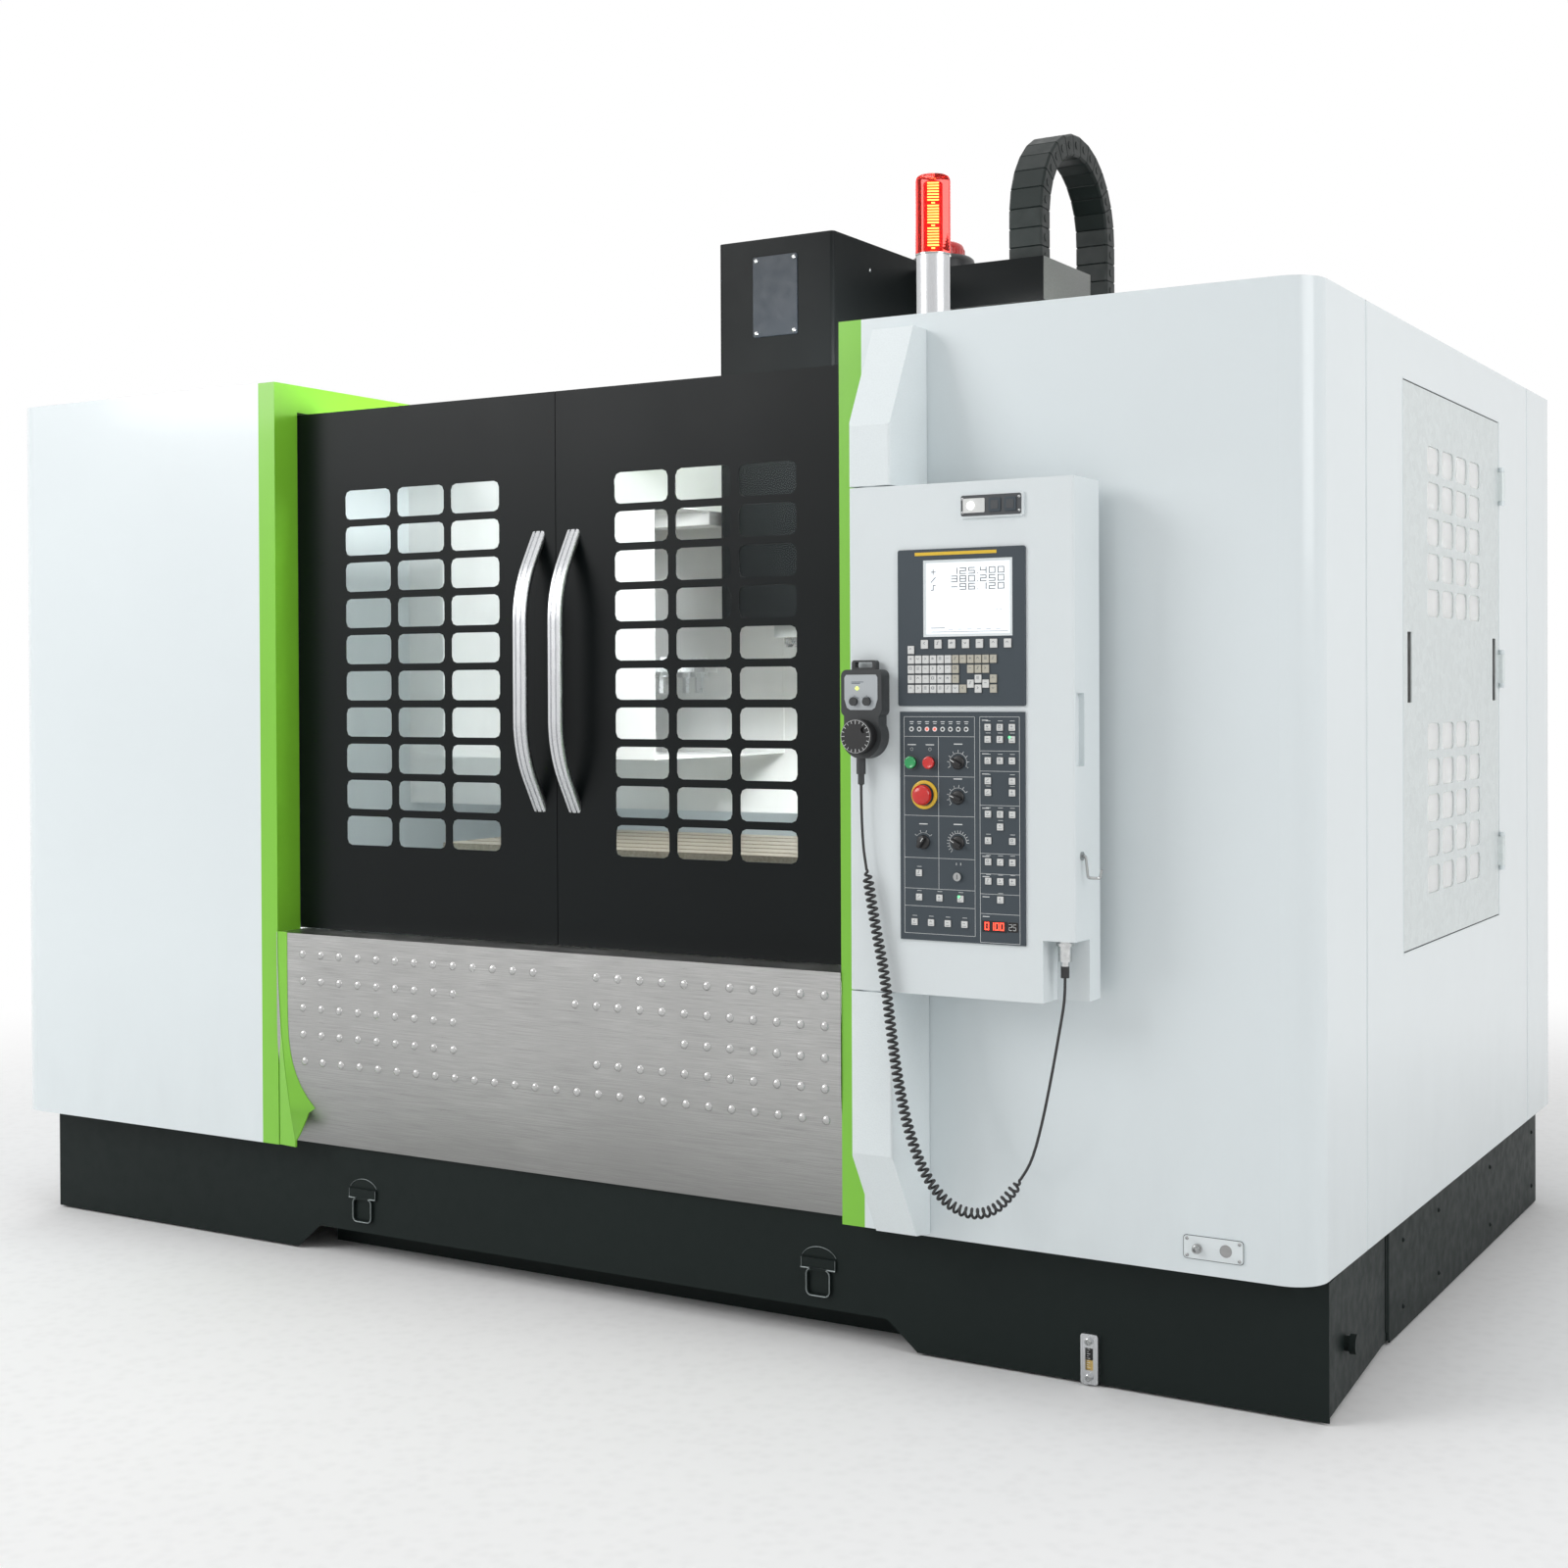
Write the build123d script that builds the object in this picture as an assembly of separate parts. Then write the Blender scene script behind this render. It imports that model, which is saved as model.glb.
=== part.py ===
from build123d import *
from math import atan2, cos, degrees, hypot, pi, radians, sin, sqrt, tan
import os

os.makedirs("parts", exist_ok=True)

# Vertical machining center. X runs to the right, Y from the front to the back and Z up.
# While the pieces are shaped, Y is counted from the front face of the base skirt.
# Every piece is then moved by ORIGIN_Y, so that the origin is under the middle of the machine.

# Whole machine
HOUSING_W = 3830.0
HOUSING_TOP = 2330.0
HOUSING_FRONT = -80.0
HOUSING_BACK = 2230.0
SHEET = 3.0
CORNER_R = 76.0
CABINET_BACK = 2690.0
FRONT_REACH = -322.0
ORIGIN_Y = (CABINET_BACK + FRONT_REACH) / 2
RIGHT = HOUSING_W / 2
LEFT = -RIGHT
SEAT = 0.3
FLANGE = 25.0

# Base skirt
SKIRT_H = 295.0
SKIRT_T = 4.0
SKIRT_LEFT = LEFT + 70.0
SKIRT_BACK = 2180.0
SKIRT_SIDE_INSET = 40.0
SKIRT_GAP = 5.0
SKIRT_LEDGE = 70.0
RELIEF_LEFT = -905.0
RELIEF_RIGHT = 975.0
RELIEF_H = 70.0
RELIEF_SLOPE = 78.0
RING_X = (-672.0, 720.0)
RING_Z = 186.0
RING_W = 92.0
FLAP_END_Y = 595.0
FLAP_GAP = 2.0
TANK_SETBACK = 120.0
TANK_H = 250.0
GAUGE_X = RIGHT - 519.0
GAUGE_W = 40.0
GAUGE_H = 108.0

# Opening between the posts
OPEN_X = -35.0
OPEN_W = 1724.0
OPEN_LEFT = OPEN_X - OPEN_W / 2
OPEN_RIGHT = OPEN_X + OPEN_W / 2
POST_W = 58.0
BEAM_H = 73.0
BEAM_W = 42.0
BEAM_BACK = 1640.0
ROOF_LEDGE = 200.0
FITTING_X = RIGHT - 215.0
FITTING_W = 130.0
FITTING_Z = (326.0, 376.0)

# Doors and the sill under them
DOOR_FRONT = 10.0
DOOR_T = 40.0
DOOR_TOP = 2250.0
DOOR_LAP = 45.0
DOOR_GAP = 2.0
DOOR_TRAVEL = 700.0
SILL_TOP = 864.0
SILL_FRONT = -84.0
SILL_STRAIGHT_Z = 620.0
SILL_R = 790.0
SILL_BACK = 110.0
DOOR_BOTTOM = SILL_TOP + 4.0
JAMB_BACK = DOOR_FRONT - 4.0
PANE_W = 158.0
PANE_H = 77.0
PANE_R = 16.0
PANE_GAP_X = 22.0
PANE_GAP_Z = 19.0
PANE_COLUMNS = 3
PANE_ROWS = 10
PANE_OFFSET_X = 437.5
PANE_Z = 1567.0
GLASS_T = 5.0
GLASS_MARGIN = 25.0
HANDLE_OFFSET = 54.0
HANDLE_LOW = 1204.0
HANDLE_HIGH = 1900.0
HANDLE_BOW = 85.0
HANDLE_W = 34.0
HANDLE_T = 18.0
RAIL_LIP = 60.0
RAIL_LIP_H = 40.0
RAIL_DEPTH = 50.0
RAIL_T = 6.0
RAIL_TOP = HOUSING_TOP - BEAM_H

# Side of the right housing and its door
SIDE_SEAM = 283.0
REAR_SEAM = 1880.0
SIDE_DOOR_FRONT = 580.0
SIDE_DOOR_BACK = 1535.0
SIDE_DOOR_LOW = 900.0
SIDE_DOOR_HIGH = 2200.0
SIDE_CLEARANCE = 3.0
SIDE_PANE_W = 115.0
SIDE_PANE_H = 65.0
SIDE_COLUMNS = 4
SIDE_ROWS = 5
SIDE_GRID_Z = (1217.0, 1869.0)
PULL_W = 36.0
PULL_H = 162.0
PULL_Z = 1548.0

# Control panel
PANEL_LEFT = 951.0
PANEL_RIGHT = 1473.0
PANEL_FRONT = -259.0
PANEL_BACK = -125.0
PANEL_LOW = 857.0
PANEL_HIGH = 1935.0
PIVOT_INSET = 50.0
PIVOT_X = PANEL_LEFT + PIVOT_INSET
PIVOT_Y = -206.0
PIVOT_R = 12.0
PIVOT_DISC_R = 50.0
PIVOT_DISC_H = 3.0
PIVOT_DEPTH = 30.0
FIT = 0.05
BRACKET_W = 100.0
BRACKET_OUT = 180.0
UNIT_OUT = 4.0
DISPLAY_X = (1071.0, 1366.0)
DISPLAY_Z = (1467.0, 1797.0)
SCREEN_X = (1137.0, 1333.0)
SCREEN_Z = (1617.0, 1769.0)
OPERATOR_X = (1075.0, 1364.0)
OPERATOR_Z = (973.0, 1455.0)
NOTCH_W = 72.0
NOTCH_H = 129.0
NOTCH_DEPTH = 74.0
CONNECTOR_X = 1434.0
CONNECTOR_Y = -222.0
CONNECTOR_R = 14.0
CONNECTOR_H = 78.0
CORD_R = 3.0
COIL_R = 12.5

# Machine inside
BED_TOP = 740.0
BED_LOW = 60.0
BED_HALF = 430.0
BED_SHOULDER = 430.0
BED_FOOT_HALF = 620.0
BED_FRONT = 330.0
BED_BACK = 2640.0
TABLE_TOP = 1066.0
TABLE_T = 100.0
TABLE_L = 1500.0
TABLE_D = 700.0
TABLE_X = -85.0
TABLE_Y = 880.0
SLOT_COUNT = 5
SLOT_PITCH = 125.0
SLOT_W = 18.0
SLOT_NECK = 14.0
SLOT_FOOT_W = 30.0
SLOT_FOOT_H = 12.0
LINEAR_W = 45.0
LINEAR_H = 28.0
RUNNING = 0.3
SADDLE_H = 150.0
SADDLE_HALF_X = 950.0
HEAD_DOWN = 500.0
SADDLE_HALF_Y = 330.0
SPINDLE_X = OPEN_X
SPINDLE_Y = 1250.0
SPINDLE_NOSE_Z = 1640.0
SPINDLE_R = 44.0
COLUMN_HALF = 430.0
COLUMN_FRONT = 2020.0
COLUMN_BACK = 2640.0
COLUMN_TOP = 2620.0
HEAD_COVER_FRONT = 1080.0
HEAD_COVER_HALF = 195.0
HEAD_COVER_TOP = 2832.0
HEAD_COVER_LOW = 1712.0
TRAY_FRONT = 1600.0
TRAY_BACK = 1960.0
TRAY_RIGHT = 585.0
TRAY_TOP = 2850.0
TRAY_LOW = 2690.0
CHAIN_LEFT = 439.0
CHAIN_RIGHT = 556.0
CHAIN_FRONT = 1660.0
CHAIN_BACK = 2244.0
CHAIN_T = 68.0
CHAIN_RISE = 90.0
CHAIN_ARCH_Z = TRAY_TOP + CHAIN_RISE
CHAIN_FIXED_Z = 2300.0
CHAIN_LINKS = 14
Y_RAIL_X = 300.0
Z_RAIL_X = 280.0
X_RAIL_Y = 200.0
SADDLE_TOP = TABLE_TOP - TABLE_T - LINEAR_H - 8
SADDLE_LOW = BED_TOP + LINEAR_H + 12
BLOCK_W = 90.0
SCREW_R = 20.0
HEAD_HALF = 170.0
HEAD_LOW = SPINDLE_NOSE_Z + 150.0
HEAD_H = 610.0
NOSE_R = 95.0
SPINDLE_MOTOR_R = 110.0
Z_MOTOR_X = OPEN_X + 15.0
Z_MOTOR_Y = COLUMN_FRONT + 120.0
Z_MOTOR_R = 100.0
Z_MOTOR_CAP_R = 72.0
Z_MOTOR_MOUNT_H = 80.0
Z_MOTOR_H = 210.0
Z_MOTOR_CAP_H = 55.0
Y_MOTOR_R = 62.0
SCREW_Z = 650.0
HEAD_FRONT = 1130.0
CARRIAGE_HALF = 330.0
CARRIAGE_FRONT = 1900.0
CARRIAGE_Z = (1900.0, 2500.0)

# Controls on the operator's plate
UNIT_FACE = PANEL_FRONT - UNIT_OUT
STEM_R = 6.0
STEM_DEPTH = 20.0
ROTARY_AT = ((1212.0, 1349.0), (1211.0, 1276.0), (1130.0, 1180.0), (1211.0, 1181.0))
BUTTON_AT = ((1103.0, 1348.0), (1146.0, 1348.0))
STOP_AT = (1133.0, 1280.0)
KEY_AT = (1211.0, 1110.0)
KEY_SIZE = 14.0
KEY_MATRIX = (1103.0, 1565.0)
KEY_PITCH = (17.4, 20.6)
SOFT_PITCH = 32.0
ROTARY_R = 15.0
BUTTON_R = 13.0
BUTTON_TRAVEL = 4.0
STOP_R = 22.0
STOP_RING_R = 30.0
STOP_TRAVEL = 5.0

# Hand pendant and its cord
PENDANT_X = 999.0
PENDANT_BACK = PANEL_FRONT - SEAT
PENDANT_T = 36.0
PENDANT_FACE = PENDANT_BACK - PENDANT_T
PENDANT_LOW = 1358.0
PENDANT_TOP = 1545.0
DIAL_Z = 1403.0
DIAL_R = 37.0
DIAL_T = 26.0
CORD_X = 990.0
CORD_Y = -280.0
BOOT_LOW = 1300.0
COIL_ROUTE = [
    (1002, -281, 1123), (1021, -282, 1012), (1044, -281, 905), (1058, -282, 800), (1074, -281, 682),
    (1100, -279, 566), (1140, -275, 470), (1196, -270, 415), (1260, -264, 405), (1314, -257, 437),
    (1347, -250, 491)]
TOP_ROUTE = [
    (CORD_X, CORD_Y, BOOT_LOW), (CORD_X, CORD_Y, 1262), (992, -281, 1213), (994.91, -280.63, 1164.4),
    COIL_ROUTE[0]]
TAIL_ROUTE = [
    COIL_ROUTE[-1], (1367.66, -245.62, 524.80), (1387, -243, 592), (1403, -240, 667), (1417, -236, 745),
    (1428, -229, 818), (CONNECTOR_X, CONNECTOR_Y, 868), (CONNECTOR_X, CONNECTOR_Y, PANEL_LOW + NOTCH_H - CONNECTOR_H)]

# Signal lamp
LAMP_X = 990.0
LAMP_Y = 70.0
LAMP_R = 40.0
LAMP_STEM_H = 160.0
LAMP_LENS_H = 178.0

# Tool magazine
MAGAZINE_X = (-1140.0, -345.0)
MAGAZINE_Y = (900.0, 1640.0)
MAGAZINE_Z = (1300.0, 2050.0)
CAROUSEL_X = -745.0
CAROUSEL_R = 330.0
POCKET_R = 280.0
POCKET_COUNT = 16
CAROUSEL_Z = (1560.0, 1590.0)
HUB_TOP = 1700.0
STUB_R = 20.0

# Electrical cabinet
CABINET_X = (560.0, 1760.0)
CABINET_Z = (350.0, 2150.0)
CABINET_DOOR_T = 25.0


def block(x, y, z):
    """A box given by its limits along each axis."""
    size = (x[1] - x[0], y[1] - y[0], z[1] - z[0])
    middle = ((x[0] + x[1]) / 2, (y[0] + y[1]) / 2, (z[0] + z[1]) / 2)
    return Pos(*middle) * Box(*size)


def post_z(x, y, z, radius):
    """A round bar upright at x, y between two heights."""
    return Pos(x, y, (z[0] + z[1]) / 2) * Cylinder(radius, z[1] - z[0])


def bar_y(x, y, z, radius):
    """A round bar along Y between two depths."""
    return Pos(x, (y[0] + y[1]) / 2, z) * Rot(90, 0, 0) * Cylinder(radius, y[1] - y[0])


def bar_x(x, y, z, radius):
    """A round bar along X between two sides."""
    return Pos((x[0] + x[1]) / 2, y, z) * Rot(0, 90, 0) * Cylinder(radius, x[1] - x[0])


def plate_xz(points, y):
    """A plate facing the front, with its outline in X and Z, between two depths."""
    outline = Plane.XZ * make_face(Polyline(*points, close=True))
    return Pos(0, y[1], 0) * extrude(outline, y[1] - y[0])


def plate_yz(points, x):
    """A plate facing the side, with its outline in Y and Z, between two sides."""
    outline = Plane.YZ * make_face(Polyline(*points, close=True))
    return Pos(x[0], 0, 0) * extrude(outline, x[1] - x[0])


def save(name, *solids):
    """Write one node, moved from the skirt's front face to the origin."""
    moved = [Pos(0, -ORIGIN_Y, 0) * solid for solid in solids]
    export_step(moved[0] if len(moved) == 1 else Compound(moved), f"parts/{name}.step")


def upright_hinge(x, y, z, pin_r=5.0, sleeve_r=9.0, lug_h=12.0):
    """An upright hinge: the pin with its two lugs, and the sleeve that turns on it."""
    pin = post_z(x, y, z, pin_r)
    pin += post_z(x, y, (z[0], z[0] + lug_h), sleeve_r)
    pin += post_z(x, y, (z[1] - lug_h, z[1]), sleeve_r)
    sleeve_z = (z[0] + lug_h + SEAT, z[1] - lug_h - SEAT)
    sleeve = post_z(x, y, sleeve_z, sleeve_r) - post_z(x, y, z, pin_r + FIT)
    return pin, sleeve


def oblong(width, height, radius):
    """An oblong whose rounded corners are two straight facets each."""
    points = []
    for quarter, (side_x, side_y) in enumerate(((1, 1), (-1, 1), (-1, -1), (1, -1))):
        centre_x = side_x * (width / 2 - radius)
        centre_y = side_y * (height / 2 - radius)
        for step in range(3):
            angle = radians(90 * quarter + 45 * step)
            points.append((centre_x + radius * cos(angle), centre_y + radius * sin(angle)))
    return make_face(Polyline(*points, close=True))


def pane_grid(columns, rows, pane_w, pane_h, middle, plane, depth):
    """The glazing cut-outs of a door: rounded oblongs on a grid."""
    pitch = (pane_w + PANE_GAP_X, pane_h + PANE_GAP_Z)
    panes = GridLocations(pitch[0], pitch[1], columns, rows) * oblong(pane_w, pane_h, PANE_R)
    return Pos(*middle) * extrude(plane * (Sketch() + panes), depth / 2, both=True)


def ring_handle(x):
    """A drop ring in its small bracket on the front of the skirt."""
    bracket = block((x - RING_W / 2, x + RING_W / 2), (-6, 0), (RING_Z - 26, RING_Z))
    ring = Plane.XZ * (RectangleRounded(66, 66, 14) - RectangleRounded(54, 54, 9))
    return bracket + Pos(x, -2, RING_Z - 56) * extrude(ring, 6)


def base_skirt():
    """The folded skirt round the base: front with its relief, left side, right side and rear."""
    low = SKIRT_GAP
    front = plate_xz([
        (SKIRT_LEFT, low), (RELIEF_LEFT, low), (RELIEF_LEFT + RELIEF_SLOPE, RELIEF_H),
        (RELIEF_RIGHT - RELIEF_SLOPE, RELIEF_H), (RELIEF_RIGHT, low), (RIGHT, low),
        (RIGHT, SKIRT_H), (SKIRT_LEFT, SKIRT_H)], (0, SKIRT_T))
    right = RIGHT - SKIRT_SIDE_INSET
    left_side = block((SKIRT_LEFT, SKIRT_LEFT + SKIRT_T), (0, SKIRT_BACK), (low, SKIRT_H))
    right_side = block((right - SKIRT_T, right), (FLAP_END_Y + 8, SKIRT_BACK), (low, SKIRT_H))
    rear = block((SKIRT_LEFT, right), (SKIRT_BACK - SKIRT_T, SKIRT_BACK), (low, SKIRT_H))
    rear -= block((OPEN_X - BED_FOOT_HALF, OPEN_X + BED_FOOT_HALF),
                  (SKIRT_BACK - 2 * SKIRT_T, SKIRT_BACK + SKIRT_T), (0, SKIRT_H))
    ledge = block((SKIRT_LEFT, right), (0, SKIRT_BACK), (SKIRT_H - SKIRT_T, SKIRT_H))
    ledge -= block((SKIRT_LEFT + SKIRT_LEDGE, right - SKIRT_LEDGE),
                   (SKIRT_LEDGE, SKIRT_BACK + 1), (0, SKIRT_H + 1))
    skirt = front + left_side + right_side + rear + ledge
    for x in RING_X:
        skirt += ring_handle(x)
    return skirt


def skirt_flap():
    """The slanting flap at the right end of the skirt, with its sleeve and its knob."""
    hinge_x = RIGHT - SKIRT_SIDE_INSET - 5
    start = (RIGHT - 2, FLAP_GAP + SKIRT_T)
    run = (hinge_x - start[0], FLAP_END_Y - start[1])
    length = hypot(*run)
    turn = degrees(atan2(run[1], run[0]))
    z = (SKIRT_GAP + 8, SKIRT_H - 8)
    plate = block((0, length - 4), (0, SKIRT_T), z)
    knob_at = (length * 0.26, -6, z[0] + 113)
    knob = Pos(*knob_at) * Rot(90, 0, 0) * (Cylinder(16, 12) + Pos(0, 0, 12) * Cylinder(21, 14))
    flap = Pos(start[0], start[1], 0) * Rot(0, 0, turn) * (plate + knob)
    pin, sleeve = upright_hinge(hinge_x, FLAP_END_Y, z, 4, 7)
    flap -= post_z(hinge_x, FLAP_END_Y, (z[0] - 1, z[1] + 1), 7.5)
    flap += sleeve
    neck_x = (hinge_x - 3, hinge_x + 3)
    flap += block(neck_x, (FLAP_END_Y - 14, FLAP_END_Y - 6.5), (z[0] + 20, z[1] - 20))
    pin += block((hinge_x - 3, hinge_x + 3), (FLAP_END_Y + 4.5, FLAP_END_Y + 12), (z[0], z[0] + 12))
    pin += block((hinge_x - 3, hinge_x + 3), (FLAP_END_Y + 4.5, FLAP_END_Y + 12), (z[1] - 12, z[1]))
    return pin, flap


def coolant_tank():
    """The tank that stands on the floor behind the relief of the skirt."""
    x = (RELIEF_LEFT + 30, RELIEF_RIGHT - 30)
    y = (TANK_SETBACK, BED_FRONT)
    tank = block(x, y, (0, TANK_H))
    inner_x = (x[0] + SKIRT_T, x[1] - SKIRT_T)
    inner_y = (y[0] + SKIRT_T, y[1] - SKIRT_T)
    return tank - block(inner_x, inner_y, (SKIRT_T, TANK_H + 1))


def oil_gauge():
    """The sight gauge: a plate with a slot window and two cap screws."""
    z = (SKIRT_GAP, SKIRT_GAP + GAUGE_H)
    x = (GAUGE_X - GAUGE_W / 2, GAUGE_X + GAUGE_W / 2)
    gauge = fillet(block(x, (-12, 0), z).edges().filter_by(Axis.Y), 6)
    middle = (z[0] + z[1]) / 2
    gauge -= block((GAUGE_X - 9, GAUGE_X + 9), (-13, -6), (middle - 24, middle + 24))
    for side in (-1, 1):
        gauge += bar_y(GAUGE_X, (-18, -12), middle + side * 39, 8)
    return gauge


def corner_sheet(outer_x, inner_x, back_y, z):
    """A front sheet that turns round a rounded corner and runs back along the side."""
    side = 1 if outer_x > inner_x else -1
    width = abs(outer_x - inner_x)
    depth = back_y - HOUSING_FRONT
    middle = Pos((outer_x + inner_x) / 2, (HOUSING_FRONT + back_y) / 2, 0)
    outline = middle * Rectangle(width, depth)
    corner = outline.vertices().sort_by_distance((outer_x, HOUSING_FRONT, 0))[0]
    outline = fillet(corner, CORNER_R)
    shift = Pos(-side * SHEET, SHEET, 0)
    inner = shift * (middle * Rectangle(width, depth))
    corner = inner.vertices().sort_by_distance((outer_x, HOUSING_FRONT, 0))[0]
    inner = fillet(corner, CORNER_R - SHEET)
    wall = extrude(outline - inner, z[1] - z[0])
    reach = Pos(-side * ROOF_LEDGE, ROOF_LEDGE, 0) * (middle * Rectangle(width, depth))
    ledge = outline - reach
    foot = outline - Pos(-side * ROOF_LEDGE / 2, ROOF_LEDGE * 0.75, 0) * (middle * Rectangle(width, depth))
    wall += Pos(0, 0, z[1] - z[0] - SHEET) * extrude(ledge, SHEET)
    wall += extrude(foot, SHEET)
    return Pos(0, 0, z[0]) * wall


def housing_left():
    """The left housing: the white front, its rounded corner and the long left side."""
    inner_x = OPEN_LEFT - POST_W
    return corner_sheet(LEFT, inner_x, REAR_SEAM, (SKIRT_H, HOUSING_TOP))


def housing_right_front():
    """The right housing's front and corner, with the raised fitting plate low on its front."""
    inner_x = OPEN_RIGHT + POST_W
    sheet = corner_sheet(RIGHT, inner_x, SIDE_SEAM, (SKIRT_H, HOUSING_TOP))
    plate_x = (FITTING_X - FITTING_W / 2, FITTING_X + FITTING_W / 2)
    plate = block(plate_x, (HOUSING_FRONT - SHEET, HOUSING_FRONT), FITTING_Z)
    sheet += fillet(plate.edges().filter_by(Axis.Y), 8)
    flange = block((RIGHT - FLANGE, RIGHT), (SIDE_SEAM - SHEET, SIDE_SEAM), (SKIRT_H, HOUSING_TOP))
    return sheet + flange


def housing_right_side():
    """The right side sheet with its door opening, folded in along both seams."""
    x = (RIGHT - SHEET, RIGHT)
    z = (SKIRT_H, HOUSING_TOP)
    sheet = block(x, (SIDE_SEAM, REAR_SEAM), z)
    sheet -= block((x[0] - 1, x[1] + 1), (SIDE_DOOR_FRONT, SIDE_DOOR_BACK), (SIDE_DOOR_LOW, SIDE_DOOR_HIGH))
    for y in (SIDE_SEAM, REAR_SEAM - SHEET):
        sheet += block((RIGHT - FLANGE, RIGHT), (y, y + SHEET), z)
    for height in (z[0], z[1] - SHEET):
        width = SKIRT_SIDE_INSET + SKIRT_LEDGE
        sheet += block((RIGHT - width, RIGHT), (SIDE_SEAM, REAR_SEAM), (height, height + SHEET))
    frame = block((RIGHT - 34, RIGHT - SHEET), (SIDE_DOOR_BACK, SIDE_DOOR_BACK + SHEET),
                  (SIDE_DOOR_LOW, SIDE_DOOR_HIGH))
    pins = [side_hinge(z_low)[0] for z_low in side_hinge_heights()]
    return sheet + frame + pins


def side_hinge_heights():
    """Where the three hinges of the side door start."""
    middle = (SIDE_DOOR_LOW + SIDE_DOOR_HIGH) / 2
    reach = (SIDE_DOOR_HIGH - SIDE_DOOR_LOW) / 2 - 170
    return [middle - reach - 50, middle - 50, middle + reach - 50]


def side_hinge(low):
    """One hinge of the side door: pin on the jamb and sleeve on the door."""
    x = RIGHT + 9
    y = SIDE_DOOR_BACK - SIDE_CLEARANCE / 2
    pin, sleeve = upright_hinge(x, y, (low, low + 100), 4, 7)
    for z in (low, low + 88):
        pin += block((RIGHT - SHEET, x), (y + 1, y + 7), (z, z + 12))
    sleeve_z = (low + 12 + SEAT, low + 88 - SEAT)
    leaf = block((RIGHT - SHEET, x), (y - 7, y - 4.5), sleeve_z)
    return pin, sleeve + leaf


def side_door():
    """The side door: a flat sheet with two window grids, two pulls and hinge sleeves."""
    y = (SIDE_DOOR_FRONT + SIDE_CLEARANCE, SIDE_DOOR_BACK - SIDE_CLEARANCE)
    z = (SIDE_DOOR_LOW + SIDE_CLEARANCE, SIDE_DOOR_HIGH - SIDE_CLEARANCE)
    door = block((RIGHT - SHEET, RIGHT), y, z)
    middle_y = (SIDE_DOOR_FRONT + SIDE_DOOR_BACK) / 2
    for height in SIDE_GRID_Z:
        door -= pane_grid(SIDE_COLUMNS, SIDE_ROWS, SIDE_PANE_W, SIDE_PANE_H,
                          (RIGHT, middle_y, height), Plane.YZ, 4 * SHEET)
    for end in (y[0] + 34, y[1] - 34 - PULL_W):
        door -= block((RIGHT - 10, RIGHT + 1), (end, end + PULL_W), (PULL_Z - PULL_H / 2, PULL_Z + PULL_H / 2))
    sleeves = [side_hinge(z_low)[1] for z_low in side_hinge_heights()]
    return door + sleeves


def side_glass():
    """The two panes behind the grids of the side door, held as one part."""
    middle_y = (SIDE_DOOR_FRONT + SIDE_DOOR_BACK) / 2
    width = SIDE_COLUMNS * (SIDE_PANE_W + PANE_GAP_X) + GLASS_MARGIN
    height = SIDE_ROWS * (SIDE_PANE_H + PANE_GAP_Z) + GLASS_MARGIN
    x = (RIGHT - SHEET - GLASS_T, RIGHT - SHEET)
    y = (middle_y - width / 2, middle_y + width / 2)
    return [block(x, y, (z - height / 2, z + height / 2)) for z in SIDE_GRID_Z]


def rear_panel():
    """The rear sheet with its two side returns, open in the middle for the column."""
    z = (SKIRT_H, HOUSING_TOP)
    depth = HOUSING_BACK - REAR_SEAM
    middle = Pos(0, (HOUSING_BACK + REAR_SEAM) / 2, 0)
    outline = middle * Rectangle(HOUSING_W, depth)
    outline = fillet(outline.vertices().group_by(Axis.Y)[-1], CORNER_R)
    inner = middle * Pos(0, -SHEET, 0) * Rectangle(HOUSING_W - 2 * SHEET, depth)
    inner = fillet(inner.vertices().group_by(Axis.Y)[-1], CORNER_R - SHEET)
    ledge = outline - Pos(0, -SKIRT_LEDGE - 60, 0) * (middle * Rectangle(HOUSING_W - 220, depth))
    panel = extrude(outline - inner, z[1] - z[0]) + extrude(ledge, SHEET)
    panel = Pos(0, 0, z[0]) * panel
    gap = COLUMN_HALF + 20
    panel -= block((OPEN_X - gap, OPEN_X + gap), (REAR_SEAM, HOUSING_BACK + 1), (0, HOUSING_TOP + 1))
    foot = BED_FOOT_HALF + 20
    panel -= block((OPEN_X - foot, OPEN_X + foot), (REAR_SEAM, HOUSING_BACK + 1), (0, BED_SHOULDER + 10))
    panel -= block((OPEN_X, CHAIN_RIGHT + 20), (REAR_SEAM, HOUSING_BACK + 1),
                   (CHAIN_FIXED_Z - 40, HOUSING_TOP + 1))
    return panel


def inner_wall():
    """The splash wall behind the table, left and right of the spindle head."""
    y = (BEAM_BACK, BEAM_BACK + SHEET)
    z = (TABLE_TOP + 40, HOUSING_TOP - SHEET)
    gap = HEAD_COVER_HALF + 60
    left = block((LEFT + SHEET, OPEN_X - gap), y, z)
    right = block((OPEN_X + gap, RIGHT - SHEET), y, z)
    tray_way = block((OPEN_X, TRAY_RIGHT + 30), (y[0] - 1, y[1] + 1), (TRAY_LOW - HEAD_DOWN - 30, HOUSING_TOP + 1))
    return [left, right - tray_way]


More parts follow.
